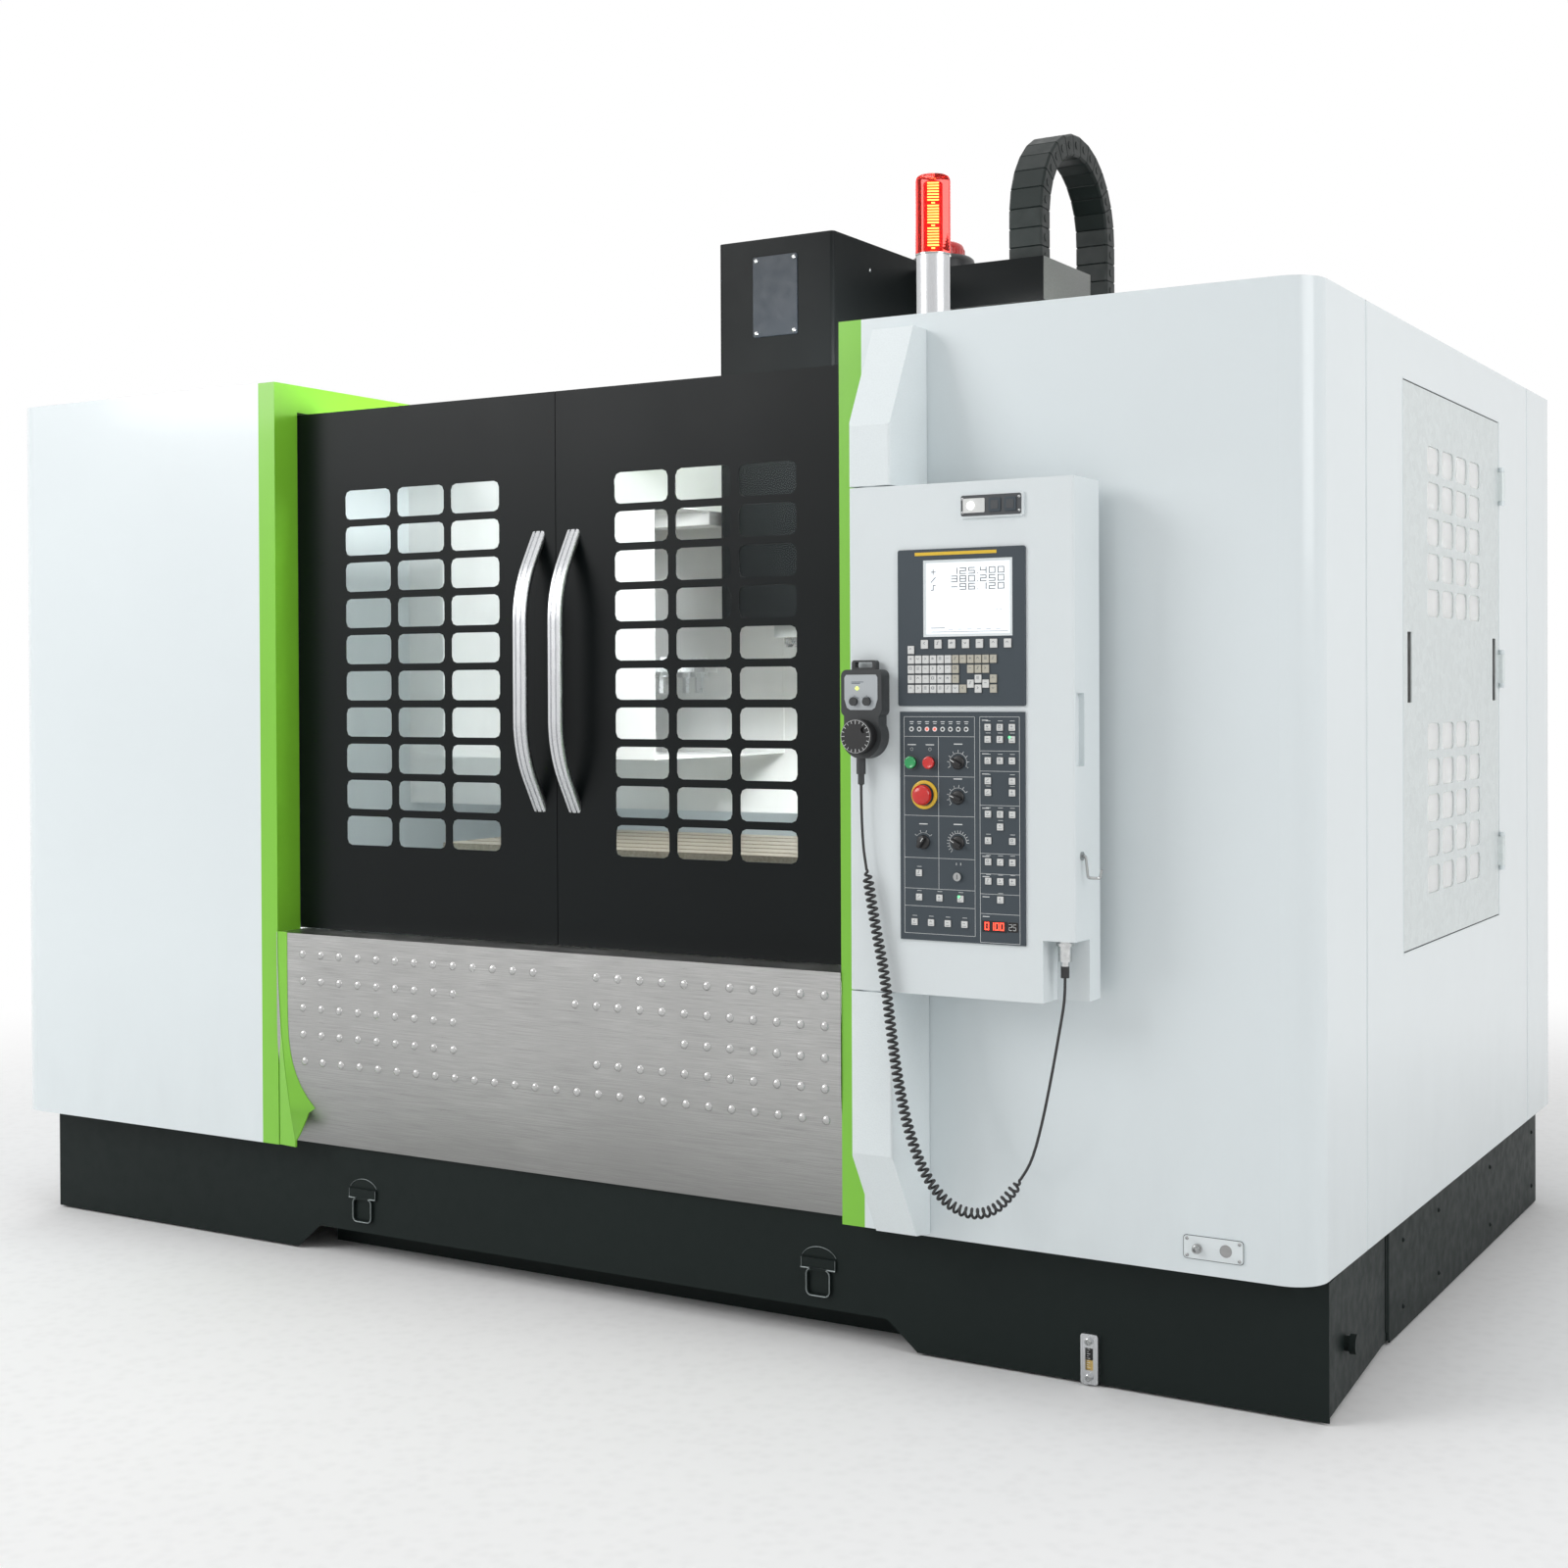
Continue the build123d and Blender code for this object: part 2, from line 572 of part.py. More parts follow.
def post(inner_x, side):
    """A green post: front strip, jamb beside the door and the beam that runs back at the top."""
    strip_x = sorted((inner_x, inner_x + side * POST_W))
    strip = block(strip_x, (HOUSING_FRONT, HOUSING_FRONT + SHEET), (SKIRT_H, HOUSING_TOP))
    jamb_x = sorted((inner_x, inner_x + side * SHEET))
    jamb = block(jamb_x, (HOUSING_FRONT, JAMB_BACK), (SKIRT_H, HOUSING_TOP))
    beam_x = sorted((inner_x, inner_x + side * BEAM_W))
    beam_z = (HOUSING_TOP - BEAM_H, HOUSING_TOP)
    beam_y = (HOUSING_FRONT + SHEET, BEAM_BACK)
    inner = sorted((inner_x + side * SHEET, inner_x + side * (BEAM_W + 1)))
    hollow = block(inner, (beam_y[0] + ROOF_LEDGE, BEAM_BACK + 1), (beam_z[0] + SHEET, beam_z[1] - SHEET))
    return strip + jamb + block(beam_x, beam_y, beam_z) - hollow


def sill():
    """The stainless sill: top flange, upright front and an arc that curves back to the skirt."""
    drop = SILL_STRAIGHT_Z - SKIRT_H
    reach = SILL_R - sqrt(SILL_R ** 2 - drop ** 2)
    half = atan2(drop, SILL_R - reach) / 2
    middle = (SILL_FRONT + SILL_R * (1 - cos(half)), SILL_STRAIGHT_Z - SILL_R * sin(half))
    lip = (SILL_FRONT + reach, SKIRT_H)
    line = Polyline((SILL_BACK, SILL_TOP), (SILL_FRONT, SILL_TOP), (SILL_FRONT, SILL_STRAIGHT_Z))
    line += ThreePointArc((SILL_FRONT, SILL_STRAIGHT_Z), middle, lip)
    line += Line(lip, (SKIRT_LEDGE - 10, SKIRT_H))
    inner_r = SILL_R - SHEET
    inner_drop = drop - SHEET
    inner_y = SILL_FRONT + SILL_R - sqrt(inner_r ** 2 - inner_drop ** 2)
    inner_half = atan2(inner_drop, SILL_FRONT + SILL_R - inner_y) / 2
    inner_mid = (SILL_FRONT + SILL_R - inner_r * cos(inner_half), SILL_STRAIGHT_Z - inner_r * sin(inner_half))
    inner_lip = (inner_y, SKIRT_H + SHEET)
    line += Polyline((SKIRT_LEDGE - 10, SKIRT_H), (SKIRT_LEDGE - 10, SKIRT_H + SHEET), inner_lip)
    line += ThreePointArc(inner_lip, inner_mid, (SILL_FRONT + SHEET, SILL_STRAIGHT_Z))
    line += Polyline((SILL_FRONT + SHEET, SILL_STRAIGHT_Z), (SILL_FRONT + SHEET, SILL_TOP - SHEET),
                     (SILL_BACK, SILL_TOP - SHEET), (SILL_BACK, SILL_TOP))
    section = Plane.YZ * make_face(line)
    return Pos(OPEN_LEFT, 0, 0) * extrude(section, OPEN_W)


def door_rail():
    """The channel behind the door tops: its front lip is the running rail."""
    x = (OPEN_LEFT - DOOR_LAP - DOOR_TRAVEL - 30, OPEN_RIGHT + DOOR_LAP + DOOR_TRAVEL + 30)
    lip_top = RAIL_TOP - RAIL_T - 11
    low = lip_top - RAIL_LIP_H
    back = RAIL_LIP + RAIL_DEPTH
    rail = block(x, (RAIL_LIP, RAIL_LIP + RAIL_T), (low, lip_top))
    rail += block(x, (RAIL_LIP, back), (low, low + RAIL_T))
    return rail + block(x, (back - RAIL_T, back), (low, RAIL_TOP))


def door(side):
    """A sliding door: a folded front skin with its window grid and the hanger on the rail."""
    meet = OPEN_X + side * DOOR_GAP / 2
    outer = OPEN_X + side * (OPEN_W / 2 + DOOR_LAP)
    x = sorted((meet, outer))
    y = (DOOR_FRONT, DOOR_FRONT + DOOR_T)
    z = (DOOR_BOTTOM, DOOR_TOP)
    skin = block(x, y, z)
    skin -= block((x[0] + SHEET, x[1] - SHEET), (y[0] + SHEET, y[1] + 1), (z[0] + SHEET, z[1] - SHEET))
    centre = (OPEN_X + side * PANE_OFFSET_X, DOOR_FRONT, PANE_Z)
    skin -= pane_grid(PANE_COLUMNS, PANE_ROWS, PANE_W, PANE_H, centre, Plane.XZ, 4 * SHEET)
    lip_top = RAIL_TOP - RAIL_T - 11
    hook_low = lip_top + SEAT
    hook_y = (y[1] - SHEET, RAIL_LIP + RAIL_T + 14)
    hook = block((x[0] + 60, x[1] - 60), hook_y, (hook_low, DOOR_TOP))
    hook += block((x[0] + 60, x[1] - 60), (hook_y[1] - RAIL_T, hook_y[1]), (hook_low - 18, hook_low + 1))
    return skin + hook


def door_glass(side):
    """The pane behind a door's window grid."""
    half_w = PANE_COLUMNS * (PANE_W + PANE_GAP_X) / 2 + GLASS_MARGIN
    half_h = PANE_ROWS * (PANE_H + PANE_GAP_Z) / 2 + GLASS_MARGIN
    x = OPEN_X + side * PANE_OFFSET_X
    y = DOOR_FRONT + SHEET
    return block((x - half_w, x + half_w), (y, y + GLASS_T), (PANE_Z - half_h, PANE_Z + half_h))


def door_handle(side):
    """A bow handle: a ribbed bar bent in an arc off the door, with two feet."""
    x = OPEN_X + side * HANDLE_OFFSET
    rise = (HANDLE_HIGH - HANDLE_LOW) / 2
    middle = HANDLE_LOW + rise
    outer = ThreePointArc((DOOR_FRONT, HANDLE_LOW), (DOOR_FRONT - HANDLE_BOW - HANDLE_T / 2, middle),
                          (DOOR_FRONT, HANDLE_HIGH))
    inner = ThreePointArc((DOOR_FRONT, HANDLE_HIGH - 30), (DOOR_FRONT - HANDLE_BOW + HANDLE_T / 2, middle),
                          (DOOR_FRONT, HANDLE_LOW + 30))
    ends = Line((DOOR_FRONT, HANDLE_HIGH), (DOOR_FRONT, HANDLE_HIGH - 30))
    ends += Line((DOOR_FRONT, HANDLE_LOW + 30), (DOOR_FRONT, HANDLE_LOW))
    bow = Plane.YZ * make_face(outer + ends + inner)
    handle = Pos(x - HANDLE_W / 2, 0, 0) * extrude(bow, HANDLE_W)
    return handle


def panel_brackets():
    """The two brackets that hold the control panel's pivot, each with its disc and pin."""
    x = (PANEL_LEFT, PANEL_LEFT + BRACKET_W)
    front = HOUSING_FRONT - BRACKET_OUT
    low = PANEL_HIGH + PIVOT_DISC_H
    lean = front + 0.62 * BRACKET_OUT
    upper = plate_yz([(HOUSING_FRONT, low), (front, low), (front, low + 130),
                      (lean, low + 354), (HOUSING_FRONT, low + 354)], x)
    high = PANEL_LOW - PIVOT_DISC_H
    lower = plate_yz([(HOUSING_FRONT, high), (front, high), (front, high - 350),
                      (lean, SKIRT_H + 16), (HOUSING_FRONT, SKIRT_H + 8)], x)
    upper = fillet(upper.edges().filter_by(Axis.Z), 6)
    lower = fillet(lower.edges().filter_by(Axis.Z), 6)
    upper += post_z(PIVOT_X, PIVOT_Y, (PANEL_HIGH + SEAT, low + 1), PIVOT_DISC_R)
    upper += post_z(PIVOT_X, PIVOT_Y, (PANEL_HIGH - PIVOT_DEPTH, low + 1), PIVOT_R)
    lower += post_z(PIVOT_X, PIVOT_Y, (high - 1, PANEL_LOW - SEAT), PIVOT_DISC_R)
    lower += post_z(PIVOT_X, PIVOT_Y, (high - 1, PANEL_LOW + PIVOT_DEPTH), PIVOT_R)
    return [upper, lower]


def panel_box():
    """The control panel's box with its pivot bores, lower corner notch and side slot."""
    box = block((PANEL_LEFT, PANEL_RIGHT), (PANEL_FRONT, PANEL_BACK), (PANEL_LOW, PANEL_HIGH))
    box = fillet(box.edges().filter_by(Axis.Z), 5)
    box -= block((PANEL_RIGHT - NOTCH_W, PANEL_RIGHT + 1), (PANEL_FRONT - 1, PANEL_FRONT + NOTCH_DEPTH),
                 (PANEL_LOW - 1, PANEL_LOW + NOTCH_H))
    depth = PIVOT_DEPTH + 2
    box -= post_z(PIVOT_X, PIVOT_Y, (PANEL_HIGH - depth, PANEL_HIGH + 1), PIVOT_R + FIT)
    box -= post_z(PIVOT_X, PIVOT_Y, (PANEL_LOW - 1, PANEL_LOW + depth), PIVOT_R + FIT)
    box -= block((PANEL_RIGHT - 12, PANEL_RIGHT + 1), (-251, -210), (1344, 1493))
    socket = block((1218, 1363), (PANEL_FRONT - 6, PANEL_FRONT), (1858, 1909))
    for cut in control_bores():
        box -= cut
    return box + fillet(socket.edges().filter_by(Axis.Y), 5)


def turned_y(x, z, steps):
    """A round piece along Y, built from (front, back, radius) steps."""
    piece = None
    for front, back, radius in steps:
        step = bar_y(x, (front, back), z, radius)
        piece = step if piece is None else piece + step
    return piece


def control_bores():
    """The holes for the stems of the buttons and switches, through the unit and into the box."""
    places = [*ROTARY_AT, *BUTTON_AT, STOP_AT, KEY_AT]
    return [bar_y(x, (UNIT_FACE - 3, PANEL_FRONT + STEM_DEPTH + 8), z, STEM_R + FIT) for x, z in places]


def display_unit():
    """The display's bezel with the window that the screen sits in."""
    bezel = block(DISPLAY_X, (UNIT_FACE, PANEL_FRONT), DISPLAY_Z)
    bezel = fillet(bezel.edges().filter_by(Axis.Y), 5)
    return bezel - block(SCREEN_X, (UNIT_FACE - 1, UNIT_FACE + 2), SCREEN_Z)


def screen():
    """The screen's pane, seated in the bezel."""
    return block(SCREEN_X, (UNIT_FACE + 1, UNIT_FACE + 2), SCREEN_Z)


def operator_unit():
    """The operator's plate with the emergency stop's ring and the holes of all controls."""
    plate = block(OPERATOR_X, (UNIT_FACE, PANEL_FRONT), OPERATOR_Z)
    plate += bar_y(STOP_AT[0], (UNIT_FACE - 3, UNIT_FACE), STOP_AT[1], STOP_RING_R)
    for cut in control_bores():
        plate -= cut
    return plate


def key_places():
    """The middle of every small key: the display's matrix and soft keys, then the operator's rows."""
    left, top = KEY_MATRIX
    rows = [range(12), (0, 1, 2, 3, 4, 5, 6, 8, 9, 10), (0, 1, 2, 3, 4, 5, 6, 9, 11), (0, 1, 2, 3, 4, 5, 6, 7, 9, 11)]
    places = [(left + KEY_PITCH[0] * c, top - KEY_PITCH[1] * r) for r, row in enumerate(rows) for c in row]
    places += [(left + KEY_PITCH[0] * c, top - 2.5 * KEY_PITCH[1]) for c in (8, 10)]
    places += [(left, top + KEY_PITCH[1])]
    places += [(SCREEN_X[0] - 2 + SOFT_PITCH * c, SCREEN_Z[0] - 20) for c in range(7)]
    right = OPERATOR_X[1] - 83
    high = OPERATOR_Z[1]
    places += [(right + 27.5 * c, high - drop) for drop in (32, 57, 101, 212, 311, 351) for c in range(3)]
    places += [(right + 55 * c, high - drop) for drop in (143, 167, 267) for c in range(2)]
    places += [(right + 27.5, high - drop) for drop in (238, 389)]
    places += [(OPERATOR_X[0] + 45, high - 340), (OPERATOR_X[0] + 45, high - 391)]
    places += [(OPERATOR_X[0] + 93, high - 391), (OPERATOR_X[0] + 142, high - 391)]
    return places + [(OPERATOR_X[0] + 34 + 39 * c, OPERATOR_Z[0] + 38) for c in range(4)]


def panel_keys():
    """All small square key caps of the two units."""
    half = KEY_SIZE / 2
    return [block((x - half, x + half), (UNIT_FACE - 3, UNIT_FACE), (z - half, z + half)) for x, z in key_places()]


def push_button(x, z):
    """A flat round push button on its stem."""
    face = UNIT_FACE - SEAT - BUTTON_TRAVEL
    return turned_y(x, z, [(face - 7, face, BUTTON_R), (face - 1, PANEL_FRONT + STEM_DEPTH, STEM_R)])


def emergency_stop():
    """The mushroom button with its narrower neck and stem."""
    x, z = STOP_AT
    ring = UNIT_FACE - 3
    head = ring - SEAT - STOP_TRAVEL
    mushroom = turned_y(x, z, [(head - 17, head, STOP_R), (head - 1, PANEL_FRONT + STEM_DEPTH, STEM_R)])
    rim = mushroom.edges().filter_by(GeomType.CIRCLE).sort_by(Axis.Y)[0]
    return chamfer(rim, 5)


def rotary_switch(x, z):
    """A rotary switch knob: a round skirt and a bar grip across it."""
    face = UNIT_FACE - SEAT
    knob = turned_y(x, z, [(face - 5, face, ROTARY_R), (face - 1, PANEL_FRONT + STEM_DEPTH, STEM_R)])
    grip = block((x - 4, x + 4), (face - 17, face - 4), (z - ROTARY_R + 1, z + ROTARY_R - 1))
    return knob + fillet(grip.edges().filter_by(Axis.Y), 3)


def key_switch():
    """The key switch: a bright barrel with the slot for its key."""
    x, z = KEY_AT
    face = UNIT_FACE - SEAT
    barrel = turned_y(x, z, [(face - 6, face, 9.0), (face - 1, PANEL_FRONT + STEM_DEPTH, STEM_R)])
    return barrel - block((x - 1, x + 1), (face - 7, face - 3), (z - 5, z + 5))


def side_hook():
    """The bent wire hook on the right side of the panel box."""
    y = -226.0
    top = 1160.0
    path = FilletPolyline((PANEL_RIGHT, y, top), (PANEL_RIGHT + 9, y, top), (PANEL_RIGHT + 14, y, top - 44),
                          (PANEL_RIGHT + 40, y, top - 44), (PANEL_RIGHT + 44, y, top - 26), radius=4)
    wire = sweep(Plane(origin=path @ 0, z_dir=path % 0) * RegularPolygon(3, 8), path=path)
    return wire + bar_x((PANEL_RIGHT, PANEL_RIGHT + 3), y, top, 9)


def connector():
    """The round metal connector under the notch, with the cord's boot below it."""
    top = PANEL_LOW + NOTCH_H
    body = post_z(CONNECTOR_X, CONNECTOR_Y, (top - 44, top), CONNECTOR_R)
    body += post_z(CONNECTOR_X, CONNECTOR_Y, (top - 12, top - 6), CONNECTOR_R + 4)
    return body + post_z(CONNECTOR_X, CONNECTOR_Y, (top - CONNECTOR_H, top - 40), CONNECTOR_R - 5)


def pendant():
    """The hand pendant: two lobes with a waist, a carrying loop, two small knobs and the cord's boot."""
    head = Pos(PENDANT_X, 0, 1495) * extrude(Plane.XZ * RectangleRounded(98, 100, 14), PENDANT_T)
    lobe = Pos(PENDANT_X, 0, DIAL_Z) * extrude(Plane.XZ * Circle(48), PENDANT_T)
    waist = Pos(PENDANT_X, 0, 1440) * extrude(Plane.XZ * Rectangle(84, 40), PENDANT_T)
    loop = Pos(PENDANT_X, -8, 1548) * extrude(Plane.XZ * RectangleRounded(58, 34, 6), 16)
    loop -= Pos(PENDANT_X, -4, 1555) * extrude(Plane.XZ * RectangleRounded(42, 12, 3), 28)
    body = Pos(0, PENDANT_BACK, 0) * (head + lobe + waist + loop)
    face = PENDANT_FACE
    for x in (-16, 16):
        body += bar_y(PENDANT_X + x, (face - 9, face), 1477, 9)
    body -= bar_y(PENDANT_X, (face - 1, face + 16), DIAL_Z, 5 + FIT)
    body += post_z(CORD_X, CORD_Y, (BOOT_LOW, PENDANT_LOW + 6), 7)
    return body + post_z(CORD_X, CORD_Y, (BOOT_LOW + 22, PENDANT_LOW + 6), 10)


def pendant_dial():
    """The pendant's hand wheel with its finger dimple and its stem."""
    face = PENDANT_FACE - SEAT
    dial = turned_y(PENDANT_X, DIAL_Z, [(face - DIAL_T, face, DIAL_R), (face - 1, face + 12, 5)])
    rim = dial.edges().filter_by(GeomType.CIRCLE).sort_by(Axis.Y)[0]
    dial = chamfer(rim, 3)
    return dial - bar_y(PENDANT_X + 20, (face - DIAL_T - 1, face - DIAL_T + 5), DIAL_Z + 14, 7)


def bend_radii(points):
    """The largest arcs that the runs on both sides of each corner allow."""
    radii = []
    for before, corner, after in zip(points, points[1:], points[2:]):
        run_in = Vector(*corner) - Vector(*before)
        run_out = Vector(*after) - Vector(*corner)
        half_turn = radians(run_in.get_angle(run_out)) / 2
        radii.append(0.45 * min(run_in.length, run_out.length) / tan(half_turn))
    return radii


def cord_tube(points, radius):
    """A tube along straight runs joined by tangent arcs."""
    radii = bend_radii(points)
    print("cord radii", [round(r) for r in radii])
    path = FilletPolyline(*points, radius=radii)
    tube = sweep(Plane(origin=path @ 0, z_dir=path % 0) * Circle(radius), path=path)
    print("cord volume share", round(tube.volume / (pi * radius ** 2 * path.length), 4))
    return tube


def lamp_stem():
    """The signal lamp's tube with its foot on the roof ledge."""
    stem = post_z(LAMP_X, LAMP_Y, (HOUSING_TOP, HOUSING_TOP + LAMP_STEM_H), LAMP_R - 2)
    return stem + post_z(LAMP_X, LAMP_Y, (HOUSING_TOP, HOUSING_TOP + 10), LAMP_R + 8)


def lamp_lens():
    """The signal lamp's lens with its domed cap."""
    low = HOUSING_TOP + LAMP_STEM_H
    lens = post_z(LAMP_X, LAMP_Y, (low, low + LAMP_LENS_H), LAMP_R)
    return chamfer(lens.edges().sort_by(Axis.Z)[-1], 9)


def bed():
    """The cast bed: a wide foot that narrows to the ways, with ribs and the Y screw between the ways."""
    half = [(BED_FOOT_HALF, BED_LOW), (BED_FOOT_HALF, 220), (BED_HALF, BED_SHOULDER), (BED_HALF, BED_TOP)]
    points = [(OPEN_X + x, z) for x, z in half] + [(OPEN_X - x, z) for x, z in reversed(half)]
    body = plate_xz(points, (BED_FRONT, BED_BACK))
    trough = block((OPEN_X - 200, OPEN_X + 200), (BED_FRONT - 1, COLUMN_FRONT - 60),
                   (SCREW_Z - 90, BED_TOP + 1))
    body -= trough
    screw_y = (BED_FRONT, COLUMN_FRONT - 60)
    for y in ((BED_FRONT, BED_FRONT + 70), (COLUMN_FRONT - 130, COLUMN_FRONT - 60)):
        body += block((OPEN_X - 70, OPEN_X + 70), y, (SCREW_Z - 91, SCREW_Z + 60))
    return body + bar_y(OPEN_X, screw_y, SCREW_Z, SCREW_R)


def linear_rails():
    """The guide rails of the bed and the column."""
    rails = []
    for side in (-1, 1):
        x = OPEN_X + side * Y_RAIL_X
        rails.append(block((x - LINEAR_W / 2, x + LINEAR_W / 2), (BED_FRONT + 20, COLUMN_FRONT - 30),
                           (BED_TOP, BED_TOP + LINEAR_H)))
        x = OPEN_X + side * Z_RAIL_X
        rails.append(block((x - LINEAR_W / 2, x + LINEAR_W / 2), (COLUMN_FRONT - LINEAR_H, COLUMN_FRONT),
                           (CARRIAGE_Z[0] - 520, CARRIAGE_Z[1] + 110)))
    return rails


def column():
    """The cast column on the bed, with side pockets, the Z screw and the chain's bracket."""
    x = (OPEN_X - COLUMN_HALF, OPEN_X + COLUMN_HALF)
    body = block(x, (COLUMN_FRONT, COLUMN_BACK), (BED_TOP, COLUMN_TOP))
    body = fillet(body.edges().filter_by(Axis.Z).group_by(Axis.Y)[-1], 60)
    body -= block((OPEN_X - 200, OPEN_X + 200), (COLUMN_FRONT - 1, COLUMN_FRONT + 110), (1100, COLUMN_TOP - 60))
    for z in (BED_TOP + 160, BED_TOP + 760, BED_TOP + 1360):
        for side in (-1, 1):
            edge = OPEN_X + side * COLUMN_HALF
            body -= block(sorted((edge - side * 60, edge + side)), (2120, 2520), (z, z + 360))
    screw = post_z(OPEN_X, COLUMN_FRONT + 50, (1090, COLUMN_TOP - 50), SCREW_R)
    shelf_z = (CHAIN_FIXED_Z - 20, CHAIN_FIXED_Z)
    shelf = block((OPEN_X + COLUMN_HALF - 61, CHAIN_RIGHT), (CHAIN_BACK - CHAIN_T, CHAIN_BACK), shelf_z)
    return body + screw + shelf


def axis_motors():
    """The Z motor on the column top and the Y motor in front of the bed."""
    low = COLUMN_TOP + Z_MOTOR_MOUNT_H
    high = low + Z_MOTOR_H
    motor_z = block((Z_MOTOR_X - Z_MOTOR_R, Z_MOTOR_X + Z_MOTOR_R),
                    (Z_MOTOR_Y - Z_MOTOR_R, Z_MOTOR_Y + Z_MOTOR_R), (COLUMN_TOP, low))
    motor_z += chamfer(post_z(Z_MOTOR_X, Z_MOTOR_Y, (low, high), Z_MOTOR_R).edges().sort_by(Axis.Z)[-1], 14)
    motor_z += post_z(Z_MOTOR_X, Z_MOTOR_Y, (high, high + Z_MOTOR_CAP_H), Z_MOTOR_CAP_R)
    motor_y = block((OPEN_X - 70, OPEN_X + 70), (BED_FRONT - 40, BED_FRONT), (SCREW_Z - 70, SCREW_Z + 70))
    motor_y += bar_y(OPEN_X, (BED_FRONT - 110, BED_FRONT - 40), SCREW_Z, Y_MOTOR_R)
    return [motor_z, motor_y]


def rail_block(x, y, z_low, z_high, rail_w, along):
    """A guide block that straddles a rail under it, with running clearance."""
    shoe = block((x[0], x[1]), (y[0], y[1]), (z_low, z_high))
    middle = ((x[0] + x[1]) / 2, (y[0] + y[1]) / 2)
    half = rail_w / 2 + RUNNING
    top = z_low - 1 + LINEAR_H + RUNNING
    if along == "y":
        return shoe - block((middle[0] - half, middle[0] + half), (y[0] - 1, y[1] + 1), (z_low - 1, top))
    return shoe - block((x[0] - 1, x[1] + 1), (middle[1] - half, middle[1] + half), (z_low - 1, top))


def saddle():
    """The saddle: cast body, guide blocks on the Y rails, X rails on its top and the X motor."""
    body = block((OPEN_X - SADDLE_HALF_X, OPEN_X + SADDLE_HALF_X),
                 (TABLE_Y - SADDLE_HALF_Y, TABLE_Y + SADDLE_HALF_Y), (SADDLE_LOW, SADDLE_TOP))
    for side in (-1, 1):
        x = OPEN_X + side * Y_RAIL_X
        for end in (-1, 1):
            y = TABLE_Y + end * (SADDLE_HALF_Y - 70)
            body += rail_block((x - BLOCK_W / 2, x + BLOCK_W / 2), (y - 60, y + 60),
                               BED_TOP + 1, SADDLE_LOW, LINEAR_W, "y")
        rail_y = TABLE_Y + side * X_RAIL_Y
        body += block((OPEN_X - SADDLE_HALF_X, OPEN_X + SADDLE_HALF_X),
                      (rail_y - LINEAR_W / 2, rail_y + LINEAR_W / 2), (SADDLE_TOP, SADDLE_TOP + LINEAR_H))
    middle_z = (SADDLE_LOW + SADDLE_TOP) / 2
    end_x = OPEN_X + SADDLE_HALF_X
    return body + bar_x((end_x, end_x + 110), TABLE_Y, middle_z, 55)


def slot_depths():
    """The middle of each T-slot, from the front of the table to its back."""
    return [TABLE_Y + (index - (SLOT_COUNT - 1) / 2) * SLOT_PITCH for index in range(SLOT_COUNT)]


def table():
    """The work table: its body with the wide feet of the T-slots, and the clamping strips beside the necks."""
    x = (TABLE_X - TABLE_L / 2, TABLE_X + TABLE_L / 2)
    y = (TABLE_Y - TABLE_D / 2, TABLE_Y + TABLE_D / 2)
    low = TABLE_TOP - TABLE_T
    strip_low = TABLE_TOP - SLOT_NECK
    body = block(x, y, (low, strip_low))
    body -= block((x[0] + 40, x[1] - 40), (y[0] + 60, y[1] - 60), (low - 1, low + 38))
    for slot_y in slot_depths():
        foot_y = (slot_y - SLOT_FOOT_W / 2, slot_y + SLOT_FOOT_W / 2)
        body -= block((x[0] - 1, x[1] + 1), foot_y, (strip_low - SLOT_FOOT_H, strip_low + 1))
    for side in (-1, 1):
        rail_y = TABLE_Y + side * X_RAIL_Y
        for end in (-1, 1):
            block_x = TABLE_X + end * 230
            body += rail_block((block_x - 60, block_x + 60), (rail_y - BLOCK_W / 2, rail_y + BLOCK_W / 2),
                               SADDLE_TOP + 1, low + 39, LINEAR_W, "x")
    starts = [y[0]] + [slot_y + SLOT_W / 2 for slot_y in slot_depths()]
    ends = [slot_y - SLOT_W / 2 for slot_y in slot_depths()] + [y[1]]
    strips = [block(x, span, (strip_low, TABLE_TOP)) for span in zip(starts, ends)]
    return [body, *strips]


def spindle_head():
    """The cast head: carriage on the Z rails, body, spindle housing, motor and the tray's post."""
    x = (OPEN_X - HEAD_HALF, OPEN_X + HEAD_HALF)
    high = HEAD_LOW + HEAD_H
    body = block(x, (HEAD_FRONT, CARRIAGE_FRONT), (HEAD_LOW, high))
    body += post_z(SPINDLE_X, SPINDLE_Y, (SPINDLE_NOSE_Z + 20, HEAD_LOW + 1), NOSE_R)
    body += post_z(SPINDLE_X, SPINDLE_Y, (high - 1, HEAD_COVER_TOP - 72), SPINDLE_MOTOR_R)
    body += block((OPEN_X - 120, OPEN_X + 120), (TRAY_FRONT + 20, CARRIAGE_FRONT - 20), (high - 1, TRAY_LOW))
    carriage_back = COLUMN_FRONT - 8
    wide = (OPEN_X - CARRIAGE_HALF, OPEN_X + CARRIAGE_HALF)
    body += block(wide, (CARRIAGE_FRONT - 1, carriage_back), CARRIAGE_Z)
    for side in (-1, 1):
        rail_x = OPEN_X + side * Z_RAIL_X
        half = LINEAR_W / 2 + RUNNING
        body -= block((rail_x - half, rail_x + half), (COLUMN_FRONT - LINEAR_H - RUNNING, COLUMN_FRONT),
                      (CARRIAGE_Z[0] - 1, CARRIAGE_Z[1] + 1))
    return body - post_z(SPINDLE_X, SPINDLE_Y, (SPINDLE_NOSE_Z, SPINDLE_NOSE_Z + 300), SPINDLE_R + FIT)


